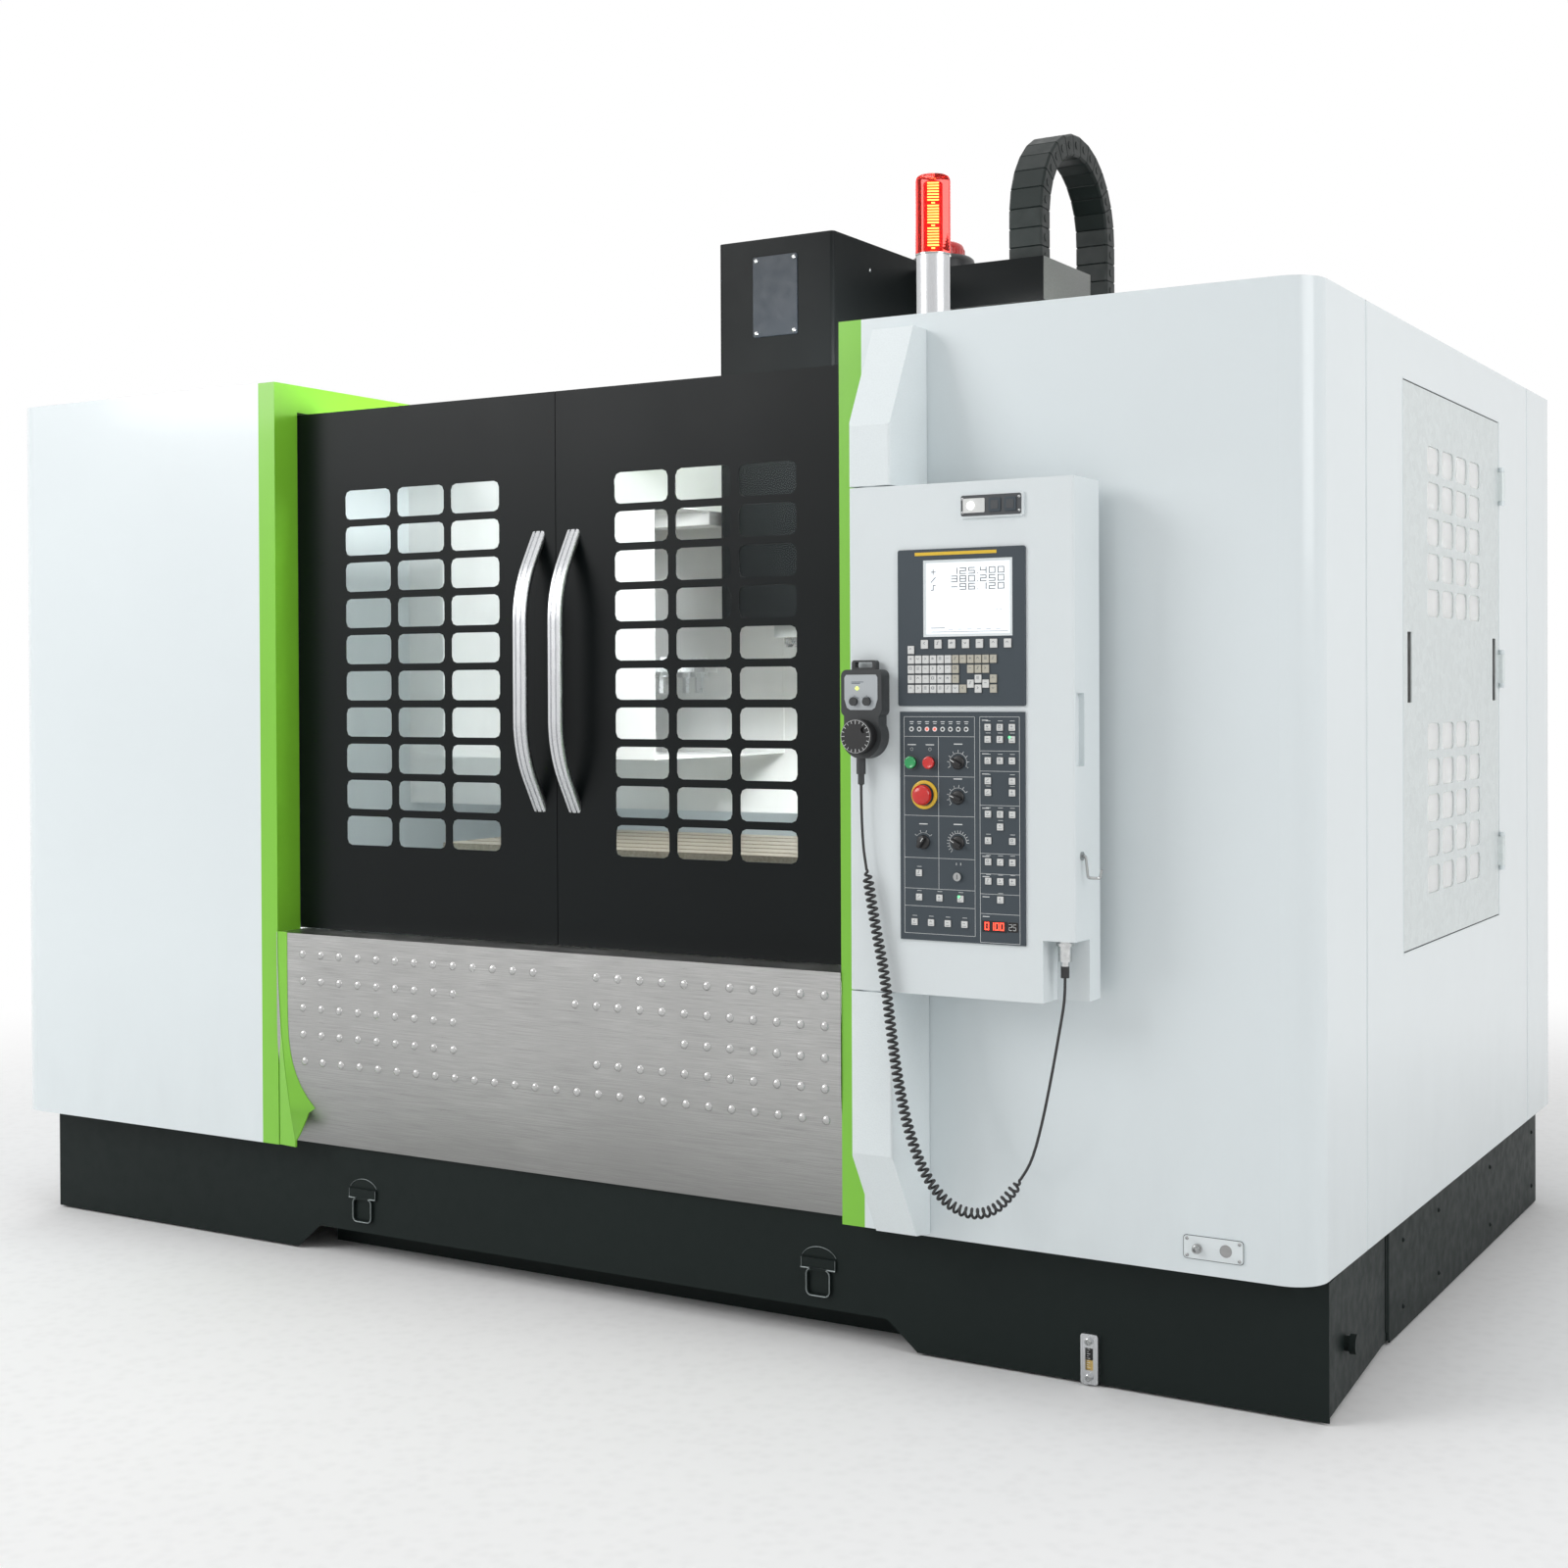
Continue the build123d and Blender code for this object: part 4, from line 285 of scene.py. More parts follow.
MATS = {
    "white": paint("white_paint", (0.735, 0.795, 0.815), 0.24, mottle=0.012, low_darkening=0.25, coat=0.35),
    "wall": paint("inner_white_paint", (0.86, 0.87, 0.86), 0.45, 0.08),
    "green": paint("green_paint", (0.21, 0.56, 0.035), 0.3, coat=0.2),
    "black": paint("black_paint", (0.0035, 0.0055, 0.006), 0.34, 0.04, mottle=0.2, shine=0.16),
    "cover": cover_paint("cover_black"),
    "base": textured("skirt_coat", (0.008, 0.013, 0.012), 0.5, 700.0, 0.12, shine=0.16),
    "bracket": textured("bracket_coat", (0.73, 0.785, 0.8), 0.42, 260.0, 0.5, 0.03),
    "panel": textured("panel_coat", (0.7, 0.75, 0.765), 0.36, 800.0, 0.12, 0.02),
    "plate": textured("unit_plate", (0.05, 0.064, 0.076), 0.45, 900.0, 0.15, shine=0.3),
    "key": textured("key_plastic", (0.66, 0.67, 0.66), 0.45, 1500.0, 0.05, 0.03),
    "key_dark": textured("dark_key_plastic", (0.05, 0.055, 0.06), 0.42, 1500.0, 0.05, 0.05),
    "knob": textured("knob_plastic", (0.012, 0.012, 0.013), 0.34, 1400.0, 0.08),
    "pendant": textured("pendant_plastic", (0.028, 0.031, 0.033), 0.42, 1100.0, 0.2),
    "plug": plug_metal("plug_metal"),
    "rubber": textured("cord_rubber", (0.022, 0.022, 0.023), 0.42, 2500.0, 0.1),
    "chain": textured("chain_plastic", (0.01, 0.015, 0.014), 0.4, 1300.0, 0.1, shine=0.22),
    "steel": metal("ground_steel", (0.52, 0.52, 0.51), 0.26, (1, 0.15, 1), 80.0),
    "table": metal("scraped_iron", (0.4, 0.36, 0.29), 0.42, (1, 1, 1), 110.0, 0.25, 0.25, 0.85),
    "rail": metal("hanger_steel", (0.36, 0.36, 0.36), 0.42, (0.1, 1, 1), 60.0),
    "aluminium": metal("satin_aluminium", (0.6, 0.61, 0.625), 0.27, (1, 1, 0.012), 900.0, 0.01, 0.05),
    "alu_disc": metal("turned_aluminium", (0.7, 0.71, 0.72), 0.3, (1, 1, 1), 200.0, 0.05, 0.06),
    "chrome": metal("bright_nickel", (0.4, 0.41, 0.41), 0.2, (1, 1, 1), 40.0, 0.02, 0.05),
    "casting": casting("painted_casting", (0.74, 0.77, 0.76)),
    "motor": textured("motor_coat", (0.016, 0.017, 0.018), 0.38, 500.0, 0.2),
    "zinc": galvanised("zinc_sheet", (0.72, 0.77, 0.77)),
    "sill": sill_sheet("sill_sheet"),
    "pane": clear("door_pane", (0.92, 0.95, 0.95), ior=1.14),
    "side_pane": clear("side_pane", (0.97, 0.98, 0.98), 0.18, 0.45, 1.3),
    "red": paint("red_plastic", (0.62, 0.012, 0.01), 0.22, 0.03, 500.0, 0.03, 0.4),
    "start": paint("green_plastic", (0.01, 0.33, 0.09), 0.22, 0.03, 500.0, 0.03, 0.4),
    "yellow": paint("yellow_plastic", (0.78, 0.5, 0.02), 0.3, 0.03, 500.0, 0.03, 0.3),
    "lens": clear("red_lens", (1.0, 0.1, 0.09), 0.04, 0.9, 1.1),
    "lamp_led": glow("lamp_led", (1.0, 0.7, 0.14), 9.0),
    "red_led": glow("red_led", (1.0, 0.05, 0.03), 3.0),
    "white_led": glow("white_led", (1.0, 1.0, 0.96), 3.0),
    "green_led": glow("green_led", (0.15, 1.0, 0.35), 1.2),
    "lcd": glow("lcd_back", (0.8, 0.84, 0.87), 0.66, (0.45, 0.45, 0.45)),
    "ink": textured("screen_ink", (0.05, 0.07, 0.1), 0.5, 900.0, 0.02),
    "print": textured("white_print", (0.72, 0.74, 0.74), 0.5, 900.0, 0.02, 0.02),
    "digit": glow("red_digit", (1.0, 0.06, 0.03), 3.5),
    "dark_window": textured("dark_window", (0.006, 0.004, 0.004), 0.2, 900.0, 0.02),
    "brass": metal("brass", (0.6, 0.42, 0.16), 0.25, (1, 1, 1), 60.0),
    "screen_ink": textured("faint_ink", (0.05, 0.06, 0.075), 0.5, 900.0, 0.02),
    "key_beige": textured("beige_key", (0.46, 0.44, 0.37), 0.45, 1500.0, 0.05, 0.03),
    "dome": metal("dome_steel", (0.5, 0.5, 0.495), 0.2, (1, 1, 1), 90.0, 0.04, 0.08),
    "bare_plate": textured("bare_plate", (0.016, 0.021, 0.027), 0.4, 900.0, 0.1, shine=0.3),
    "pendant_plate": textured("pendant_plate", (0.42, 0.45, 0.47), 0.42, 1200.0, 0.06, 0.03),
    "pendant_led": glow("pendant_led", (0.85, 1.0, 0.15), 1.6),
    # Painted shadow for the seams, the side door's gap and the rim behind the fitting plate.
    "seal": textured("seam_shadow", (0.03, 0.034, 0.034), 0.6, 900.0, 0.05, shine=0.2),
    "worn": metal("worn_edge", (0.2, 0.225, 0.225), 0.34, (1, 1, 1), 120.0, 0.1, 0.2),
    "floor": textured("studio_floor", (0.88, 0.88, 0.88), 0.75, 30.0, 0.02, 0.01),
}


# Geometry helpers

FRONT = (0, -1, 0)
UP = (0, 0, 1)


def add_object(name, data):
    obj = bpy.data.objects.new(name, data)
    bpy.context.scene.collection.objects.link(obj)
    return obj


def mesh_object(name, bm, keys):
    """What bm holds as one object; keys name its materials."""
    bmesh.ops.recalc_face_normals(bm, faces=bm.faces)
    mesh = bpy.data.meshes.new(name)
    bm.to_mesh(mesh)
    bm.free()
    for key in ([keys] if isinstance(keys, str) else keys):
        mesh.materials.append(MATS[key])
    return add_object(name, mesh)


def piece(name, bm, keys, body, smooth=False):
    """One piece of the scene, which rides on one of the model's bodies."""
    obj = mesh_object(name, bm, keys)
    for poly in obj.data.polygons:
        poly.use_smooth = smooth
    if smooth:
        smooth_by_angle(obj)
    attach(obj, body)
    return obj


def smooth_by_angle(obj, degrees=35):
    """Rounded faces shade smooth, and edges sharper than this stay sharp."""
    bm = bmesh.new()
    bm.from_mesh(obj.data)
    limit = radians(degrees)
    for edge in bm.edges:
        edge.smooth = len(edge.link_faces) == 2 and edge.calc_face_angle(0.0) < limit
    bm.to_mesh(obj.data)
    bm.free()


def about(middle, half):
    """The limits of a stretch, from its middle."""
    return middle - half, middle + half


def row_y(*values):
    """Depths from the skirt's front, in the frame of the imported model."""
    return tuple(value + OY for value in values)


def slab(bm, x, y, z, round_edges=0.0, steps=2, index=0):
    """A box between limits, its edges rounded, added to bm."""
    size = (x[1] - x[0], y[1] - y[0], z[1] - z[0])
    middle = Vector(((x[0] + x[1]) / 2, (y[0] + y[1]) / 2, (z[0] + z[1]) / 2))
    place = Matrix.Translation(middle) @ Matrix.Diagonal((*size, 1))
    verts = bmesh.ops.create_cube(bm, size=1.0, matrix=place)["verts"]
    faces = {f for v in verts for f in v.link_faces}
    if round_edges:
        edges = list({e for v in verts for e in v.link_edges})
        done = bmesh.ops.bevel(bm, geom=edges, offset=round_edges, segments=steps, profile=0.5,
                               affect="EDGES")
        faces = set(done["faces"]) | {f for v in done["verts"] for f in v.link_faces}
    for face in faces:
        face.material_index = index


def loft(bm, rings, index=0, ends=True):
    """Faces between closed rings with as many vertices each, and over the first and last one."""
    count = len(rings[0])
    for a, b in zip(rings, rings[1:]):
        for i in range(count):
            j = (i + 1) % count
            bm.faces.new((a[i], a[j], b[j], b[i])).material_index = index
    if ends:
        bm.faces.new(rings[0][::-1]).material_index = index
        bm.faces.new(rings[-1]).material_index = index


def polar_arc(radius, start, end, steps):
    """Points of a stretch of a circle about the origin; degrees run anticlockwise from the right."""
    angles = [radians(start + (end - start) * i / steps) for i in range(steps + 1)]
    return [(radius * cos(angle), radius * sin(angle)) for angle in angles]


def turned(bm, profile, middle, steps=40, index=0, axis=FRONT):
    """A surface of revolution: profile is (distance along axis, radius) pairs, closed at both ends."""
    axis = Vector(axis).normalized()
    across = axis.orthogonal().normalized()
    third = axis.cross(across)
    round_axis = [across * x + third * y for x, y in polar_arc(1.0, 0, 360, steps)[:-1]]
    rings = []
    for along, radius in profile:
        centre = Vector(middle) + axis * along
        outs = round_axis if radius else round_axis[:1]
        rings.append([bm.verts.new(centre + out * radius) for out in outs])
    for a, b in zip(rings, rings[1:]):
        for i in range(steps):
            j = (i + 1) % steps
            corners = [a[i % len(a)], a[j % len(a)], b[j % len(b)], b[i % len(b)]]
            corners = [v for k, v in enumerate(corners) if v not in corners[:k]]
            if len(corners) > 2:
                bm.faces.new(corners).material_index = index
    for ring in (rings[0], rings[-1]):
        if len(ring) > 2:
            bm.faces.new(ring).material_index = index


def rounded_outline(width, height, radius, steps=6):
    """Points of a rounded rectangle about the origin, anticlockwise."""
    points = []
    for cx, cy, start in ((1, 1, 0), (-1, 1, 90), (-1, -1, 180), (1, -1, 270)):
        for x, y in polar_arc(radius, start, start + 90, steps):
            points.append((cx * (width / 2 - radius) + x, cy * (height / 2 - radius) + y))
    return points


def plate(bm, outline, origin, thickness, edge=0.0, index=0, up=UP, out=FRONT):
    """A flat plate of an outline; it grows from origin's plane along out, with a bevelled front edge."""
    right, up, out, origin = Vector((1, 0, 0)), Vector(up), Vector(out), Vector(origin)
    levels = [(0.0, 0.0), (thickness - edge, 0.0)]
    if edge:
        levels += [(thickness - edge * 0.3, edge * 0.3), (thickness, edge)]
    cx = sum(p[0] for p in outline) / len(outline)
    cy = sum(p[1] for p in outline) / len(outline)
    half = max(max(abs(p[0] - cx), abs(p[1] - cy)) for p in outline)
    rings = []
    for height, inset in levels:
        k = 1 - inset / half
        ring = [right * (cx + (px - cx) * k) + up * (cy + (py - cy) * k) for px, py in outline]
        rings.append([bm.verts.new(origin + point + out * height) for point in ring])
    loft(bm, rings, index)


def screw_head(bm, middle, radius, height, index=0, axis=FRONT):
    """A low domed screw head with a hexagon socket."""
    shape = ((0.4, 1.0), (0.85, 0.8), (1.0, 0.55), (1.0, 0.5), (0.35, 0.45), (0.3, 0))
    profile = [(-0.0002, radius)] + [(height * along, radius * wide) for along, wide in shape]
    turned(bm, profile, middle, 18, index, axis)


def corner_screws(bm, middle, dx, dz, radius, height, index):
    """Four screw heads round the middle of a plate that faces the front."""
    x, y, z = middle
    for place in ((x - dx, y, z - dz), (x + dx, y, z - dz), (x - dx, y, z + dz), (x + dx, y, z + dz)):
        screw_head(bm, place, radius, height, index)


def curve_points(points, bevel, name="route"):
    """A NURBS spline through control points, round or as a bare line."""
    data = bpy.data.curves.new(name, "CURVE")
    data.dimensions = "3D"
    spline = data.splines.new("NURBS")
    spline.points.add(len(points) - 1)
    for target, point in zip(spline.points, points):
        target.co = (*point, 1.0)
    spline.order_u = 3
    spline.use_endpoint_u = True
    data.bevel_depth = bevel
    data.use_fill_caps = True
    return data


# Camera, light and floor

def place_camera():
    """The photograph's viewpoint: eye height 1.5 m, looking from the front right."""
    forward = Vector((-0.51216, 0.85885, -0.00896))
    right = Vector((0.85889, 0.51214, -0.00459))
    up = Vector((-0.00065, 0.01005, 0.99995))
    eye = (3.1958, -4.2995 + OY, 1.5)
    data = bpy.data.cameras.new("camera")
    data.sensor_width = 36.0
    data.sensor_fit = "HORIZONTAL"
    data.lens = 49.26
    data.shift_y = -0.047
    data.clip_end = 100.0
    camera = add_object("camera", data)
    turn = Matrix((right, up, -forward)).transposed().to_4x4()
    camera.matrix_world = Matrix.Translation(eye) @ turn
    bpy.context.scene.camera = camera


def area_light(name, place, target, size, power):
    data = bpy.data.lights.new(name, "AREA")
    data.shape = "RECTANGLE"
    data.size, data.size_y = size
    data.energy = power
    light = add_object(name, data)
    light.location = place
    light.rotation_euler = (Vector(target) - Vector(place)).to_track_quat("-Z", "Y").to_euler()


def seen_rays(n):
    """1 for camera, glossy and transmission rays, and 0 for the rays that light the object."""
    rays = n.add("ShaderNodeLightPath").outputs
    seen = n.math("MAXIMUM", rays["Is Camera Ray"], rays["Is Glossy Ray"])
    return n.math("MAXIMUM", seen, rays["Is Transmission Ray"])


def light_world():
    """A white backdrop that lights the machine at half its seen strength."""
    world = bpy.data.worlds.new("studio")
    world.use_nodes = True
    n = Nodes(world.node_tree)
    back = n.tree.nodes["Background"]
    back.inputs["Color"].default_value = (1.0, 1.0, 1.0, 1.0)
    n.link(n.span(seen_rays(n), 0.0, 1.0, 0.5, 1.0), back.inputs["Strength"])
    bpy.context.scene.world = world


def studio_floor():
    """A pale floor that fades to the white of the backdrop away from the machine."""
    fade_start, fade_end = 2.6, 5.5
    bm = bmesh.new()
    bmesh.ops.create_grid(bm, x_segments=8, y_segments=8, size=30.0)
    mesh = bpy.data.meshes.new("studio_floor")
    bm.to_mesh(mesh)
    bm.free()
    mesh.materials.append(MATS["floor"])
    floor = add_object("studio_floor", mesh)
    floor.location.z = -0.0005
    n = Nodes(MATS["floor"].node_tree)
    place = n.add("ShaderNodeTexCoord").outputs["Object"]
    distance = n.add("ShaderNodeVectorMath", {0: place}, operation="LENGTH").outputs["Value"]
    fade = n.span(distance, fade_start, fade_end)
    fade.node.interpolation_type = "SMOOTHSTEP"
    coat = n.tree.nodes["Principled BSDF"].outputs[0]
    white = n.add("ShaderNodeEmission").outputs[0]
    mix = n.add("ShaderNodeMixShader", {0: n.math("MULTIPLY", fade, seen_rays(n)), 1: coat, 2: white})
    n.link(mix.outputs[0], n.tree.nodes["Material Output"].inputs["Surface"])


def light_studio():
    area_light("key", (-5.0, -7.0, 5.0), (-0.6, 0, 1.2), (4.5, 4), 300)
    area_light("fill", (7.5, -2.5, 4.0), (0.5, 0, 1.2), (4, 4), 142)
    area_light("top", (0, -1.0, 7.0), (0, 0, 1.0), (6, 5), 100)
    area_light("back", (-4.0, 7.0, 5.0), (0, 0, 1.2), (5, 4), 130)
    area_light("inside", (0.62, -0.6, 2.2), (-0.6, 0.1, 1.45), (0.9, 0.4), 60)


place_camera()
light_world()
studio_floor()
light_studio()


# Materials of the modelled nodes

NODE_MATS = {
    "white": "housing_left housing_right_front housing_right_side rear_panel electrical_cabinet cabinet_door",
    "wall": "inner_wall magazine_cover",
    "green": "post_left post_right",
    "black": "door_left door_right",
    "cover": "head_cover",
    "base": "base_skirt coolant_tank skirt_flap",
    "bracket": "panel_brackets",
    "panel": "panel_box",
    "plate": "display_unit operator_unit",
    "key": "panel_keys",
    "knob": "mode_switch spindle_switch rapid_switch feed_switch pendant_dial",
    "pendant": "pendant",
    "rubber": "cord_top cord_coil cord_tail",
    "chain": "cable_chain",
    "steel": "linear_rails spindle magazine_slide levelling_feet",
    "rail": "door_rail",
    "table": "table",
    "aluminium": "handle_left handle_right oil_gauge lamp_stem",
    "alu_disc": "carousel",
    "chrome": "side_hook key_switch",
    "plug": "connector",
    "casting": "bed column saddle spindle_head",
    "motor": "axis_motors",
    "zinc": "side_door",
    "sill": "sill",
    "pane": "glass_left glass_right",
    "side_pane": "side_glass",
    "red": "halt_button stop_button",
    "start": "start_button",
    "lens": "lamp_lens",
    "lcd": "screen",
}
for key, names in NODE_MATS.items():
    for name in names.split():
        mesh = NODES[name].data
        mesh.materials.clear()
        mesh.materials.append(MATS[key])


# The pendant's curly cord

TOP_ROUTE = [(0.99, -0.28, 1.3), (0.99, -0.28, 1.262), (0.992, -0.281, 1.213),
             (0.99491, -0.28063, 1.1644), (1.002, -0.281, 1.123)]
COIL_ROUTE = [(1.002, -0.281, 1.123), (1.021, -0.282, 1.012), (1.044, -0.281, 0.905), (1.058, -0.282, 0.8),
              (1.074, -0.281, 0.682), (1.1, -0.279, 0.566), (1.14, -0.275, 0.47), (1.196, -0.27, 0.415),
              (1.26, -0.264, 0.405), (1.314, -0.257, 0.437), (1.347, -0.25, 0.491)]
TAIL_ROUTE = [(1.347, -0.25, 0.491), (1.36766, -0.24562, 0.5248), (1.387, -0.243, 0.592),
              (1.403, -0.24, 0.667), (1.417, -0.236, 0.745), (1.428, -0.229, 0.818),
              (1.434, -0.222, 0.868), (1.434, -0.222, 0.908)]
CORD_R = 0.003
HELIX_R = 0.0095
HELIX_PITCH = 0.0138
TURN_STEPS = 12
RAMP_TURNS = 2.2


def in_row(points):
    """A route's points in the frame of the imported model."""
    return [(x, y + OY, z) for x, y, z in points]


def line_of(points):
    """The smooth line that a NURBS spline with these control points takes, as a list of vectors."""
    data = curve_points(points, 0.0, "line")
    data.splines[0].resolution_u = 40
    holder = add_object("line", data)
    mesh = bpy.data.meshes.new_from_object(holder)
    line = [v.co.copy() for v in mesh.vertices]
    bpy.data.objects.remove(holder)
    bpy.data.meshes.remove(mesh)
    if (line[0] - Vector(points[0])).length > 0.01:
        line.reverse()
    return line


def helix_round(line):
    """Points of a helix round a line; the radius grows from and shrinks to nothing at its ends."""
    lengths = [0.0]
    for a, b in zip(line, line[1:]):
        lengths.append(lengths[-1] + (b - a).length)
    turns = round(lengths[-1] / HELIX_PITCH)
    steps = turns * TURN_STEPS
    across = (line[1] - line[0]).orthogonal().normalized()
    points, k = [], 0
    for i in range(1, steps):
        at = lengths[-1] * i / steps
        while lengths[k + 1] < at:
            k += 1
        along = (line[k + 1] - line[k]).normalized()
        middle = line[k].lerp(line[k + 1], (at - lengths[k]) / (lengths[k + 1] - lengths[k]))
        across = (across - along * across.dot(along)).normalized()
        third = along.cross(across)
        angle = 2 * pi * i / TURN_STEPS
        ramp = min(1.0, min(i, steps - i) / TURN_STEPS / RAMP_TURNS)
        radius = HELIX_R * ramp * ramp * (3 - 2 * ramp)
        points.append(middle + (across * cos(angle) + third * sin(angle)) * radius)
    return points


def pendant_cord():
    coil = [tuple(point) for point in helix_round(line_of(in_row(COIL_ROUTE)))]
    data = curve_points(in_row(TOP_ROUTE[:-1]) + coil + in_row(TAIL_ROUTE[1:]), CORD_R, "curly_cord")
    data.splines[0].resolution_u = 3
    data.bevel_resolution = 3
    data.materials.append(MATS["rubber"])
    cord = add_object("curly_cord", data)
    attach(cord, "control_panel")
    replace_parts(cord, "cord_top", "cord_coil", "cord_tail")


pendant_cord()


# Control panel: keys, lamps, scales and the screen's picture

UNIT_Y = -0.263 + OY
SEGMENTS = {"0": "abcdef", "1": "bc", "2": "abged", "3": "abgcd", "4": "fgbc", "5": "afgcd", "6": "afgedc",
            "7": "abc", "8": "abcdefg", "9": "abcdfg", "-": "g"}
STROKES = {"a": ((0, 1), (1, 1)), "b": ((1, 1), (1, 0.5)), "c": ((1, 0.5), (1, 0)), "d": ((0, 0), (1, 0)),
           "e": ((0, 0.5), (0, 0)), "f": ((0, 1), (0, 0.5)), "g": ((0, 0.5), (1, 0.5))}
# Each mark is a row of corners that strokes join, or several such rows.
MARKS = {
    "left": [((0.8, 1), (0.2, 0.5), (0.8, 0))],
    "right": [((0.2, 1), (0.8, 0.5), (0.2, 0))],
    "up": [((0, 0.3), (0.5, 0.9), (1, 0.3))],
    "down": [((0, 0.7), (0.5, 0.1), (1, 0.7))],
    "bars": [((0, 1), (1, 1)), ((0, 0.5), (1, 0.5)), ((0, 0), (1, 0))],
    "dash": [((0, 0.5), (1, 0.5))],
    "frame": [((0, 0), (1, 0), (1, 1), (0, 1), (0, 0))],
    "step": [((0, 0), (0.5, 0), (0.5, 1), (1, 1))],
    "plus": [((0, 0.5), (1, 0.5)), ((0.5, 0), (0.5, 1))],
    "slash": [((0, 0), (1, 1))],
    "wave": [((0, 0.2), (0.35, 0.9), (0.65, 0.1), (1, 0.8))],
}
HAIR = 0.0007
# Middle (x, z) of each rotary switch, the start and end of its scale in degrees, and its ticks.
MODE, SPINDLE, RAPID, FEED = (1.212, 1.349), (1.211, 1.276), (1.13, 1.18), (1.211, 1.181)
SCALES = ((MODE, -115, 115, 9), (SPINDLE, -130, 60, 8), (RAPID, -50, 50, 4), (FEED, -140, 90, 16))
BUTTONS_X = (1.103, 1.146)
BUTTONS_Z = 1.348


def stroke(bm, a, b, y, width, index=0, proud=0.0003):
    """A thin printed bar between two (x, z) points on the plane y, facing the front."""
    a, b = Vector((a[0], 0, a[1])), Vector((b[0], 0, b[1]))
    along = (b - a).normalized() * width / 2
    side = Vector((-along.z, 0, along.x))
    rim = [a - along - side, b + along - side, b + along + side, a - along + side]
    loft(bm, [[bm.verts.new((p.x, level, p.z)) for p in rim] for level in (y, y - proud)], index)


def dash(bm, x, z, width=HAIR, index=0, y=UNIT_Y):
    """A level stroke between the limits x."""
    stroke(bm, (x[0], z), (x[1], z), y, width, index)


def glyph(bm, rows, x, z, width, height, y, thick, index=0):
    """Strokes of a mark whose lower left corner is at x, z."""
    for corners in rows:
        points = [(x + u * width, z + v * height) for u, v in corners]
        for a, b in zip(points, points[1:]):
            stroke(bm, a, b, y, thick, index)


def number(bm, text, right, z, width, height, y, thick, index=0):
    """Plain digits, right aligned."""
    x = right
    for char in reversed(text):
        if char == ".":
            x -= width * 0.5
            dash(bm, (x, x + thick * 0.3), z, thick, index, y=y)
            continue
        x -= width * 1.55
        glyph(bm, [STROKES[s] for s in SEGMENTS[char]], x, z, width, height, y, thick, index)


def dial_point(middle, radius, degrees):
    """A point of a scale; angles run clockwise from the top."""
    angle = radians(degrees)
    return middle[0] + radius * sin(angle), middle[1] + radius * cos(angle)


def arc(bm, middle, radius, start, end, y, thick, index=0, steps=18):
    """Part of a printed circle."""
    points = [dial_point(middle, radius, start + (end - start) * i / steps) for i in range(steps + 1)]
    for a, b in zip(points, points[1:]):
        stroke(bm, a, b, y, thick, index)


def ticks(bm, middle, low, high, degrees, y, thick, index=0):
    """Short strokes that point at the middle of a scale, from one radius to another."""
    for at in degrees:
        stroke(bm, dial_point(middle, low, at), dial_point(middle, high, at), y, thick, index)


def key_places():
    """(x, z, size, kind) of each key cap; kind 1 is beige."""
    key, soft, small = 0.0152, 0.0165, 0.014
    first, pitch, top, row_pitch = 1.103, 0.0174, 1.565, 0.0206
    grid_x, grid_pitch, plate_foot = 1.281, 0.0275, 1.011
    keys = []
    rows = (range(12), (*range(7), 8, 9, 10), (*range(7), 9, 11), (*range(8), 9, 11))
    for row, columns in enumerate(rows):
        for column in columns:
            white = column < 6 or (row, column) in ((3, 6), (2, 9), (3, 9))
            keys.append((first + pitch * column, top - row_pitch * row, key, 0 if white else 1))
    keys += [(first + pitch * column, 1.5135, key, 0) for column in (8, 10)]
    keys.append((first, 1.5856, key, 0))
    keys += [(1.135 + 0.032 * c, 1.597, soft, 0) for c in range(7)]
    grid = [(c, z) for z in (1.423, 1.398, 1.354, 1.144, 1.104) for c in (0, 1, 2)]
    grid += [(c, z) for z in (1.312, 1.288, 1.188) for c in (0, 2)]
    grid += [(c, 1.243) for c in (0, 1, 2)] + [(1, 1.217), (1, 1.066)]
    keys += [(grid_x + grid_pitch * c, z, small, 0) for c, z in grid]
    keys += [(x, z, small, 0) for x, z in ((1.12, 1.115), (1.12, 1.064), (1.168, 1.064), (1.217, 1.064))]
    keys += [(1.109 + 0.039 * c, plate_foot, small, 0) for c in range(4)]
    return keys


def key_caps():
    """Square caps in dark rims, each with a mark; the small ones also have a bar below and above it."""
    rim, rim_proud, proud, small, tall_share = 0.0008, 0.0006, 0.0034, 0.0145, 1.12
    face = UNIT_Y - proud
    bm = bmesh.new()
    names = sorted(MARKS)
    chance = random.Random(7)
    for x, z, size, kind in key_places():
        half = size / 2
        tall = half * tall_share if size > small else half
        slab(bm, about(x, half + rim), (UNIT_Y - rim_proud, UNIT_Y), about(z, tall + rim), index=2)
        slab(bm, about(x, half), (face, UNIT_Y), about(z, tall), 0.0011, index=kind)
        mark = MARKS[names[chance.randrange(len(names))]]
        glyph(bm, mark, x - size * 0.2, z - size * 0.02, size * 0.34, size * 0.3, face, HAIR, 3)
        if size < small:
            dash(bm, about(x, size * 0.28), z - size * 0.27, HAIR, 3, y=face)
            dash(bm, about(x, size * 0.35), z + size * 0.95, 0.0009, 4)
    keys = ["key", "key_beige", "key_dark", "ink", "print"]
    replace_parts(piece("key_caps", bm, keys, "control_panel"), "panel_keys")


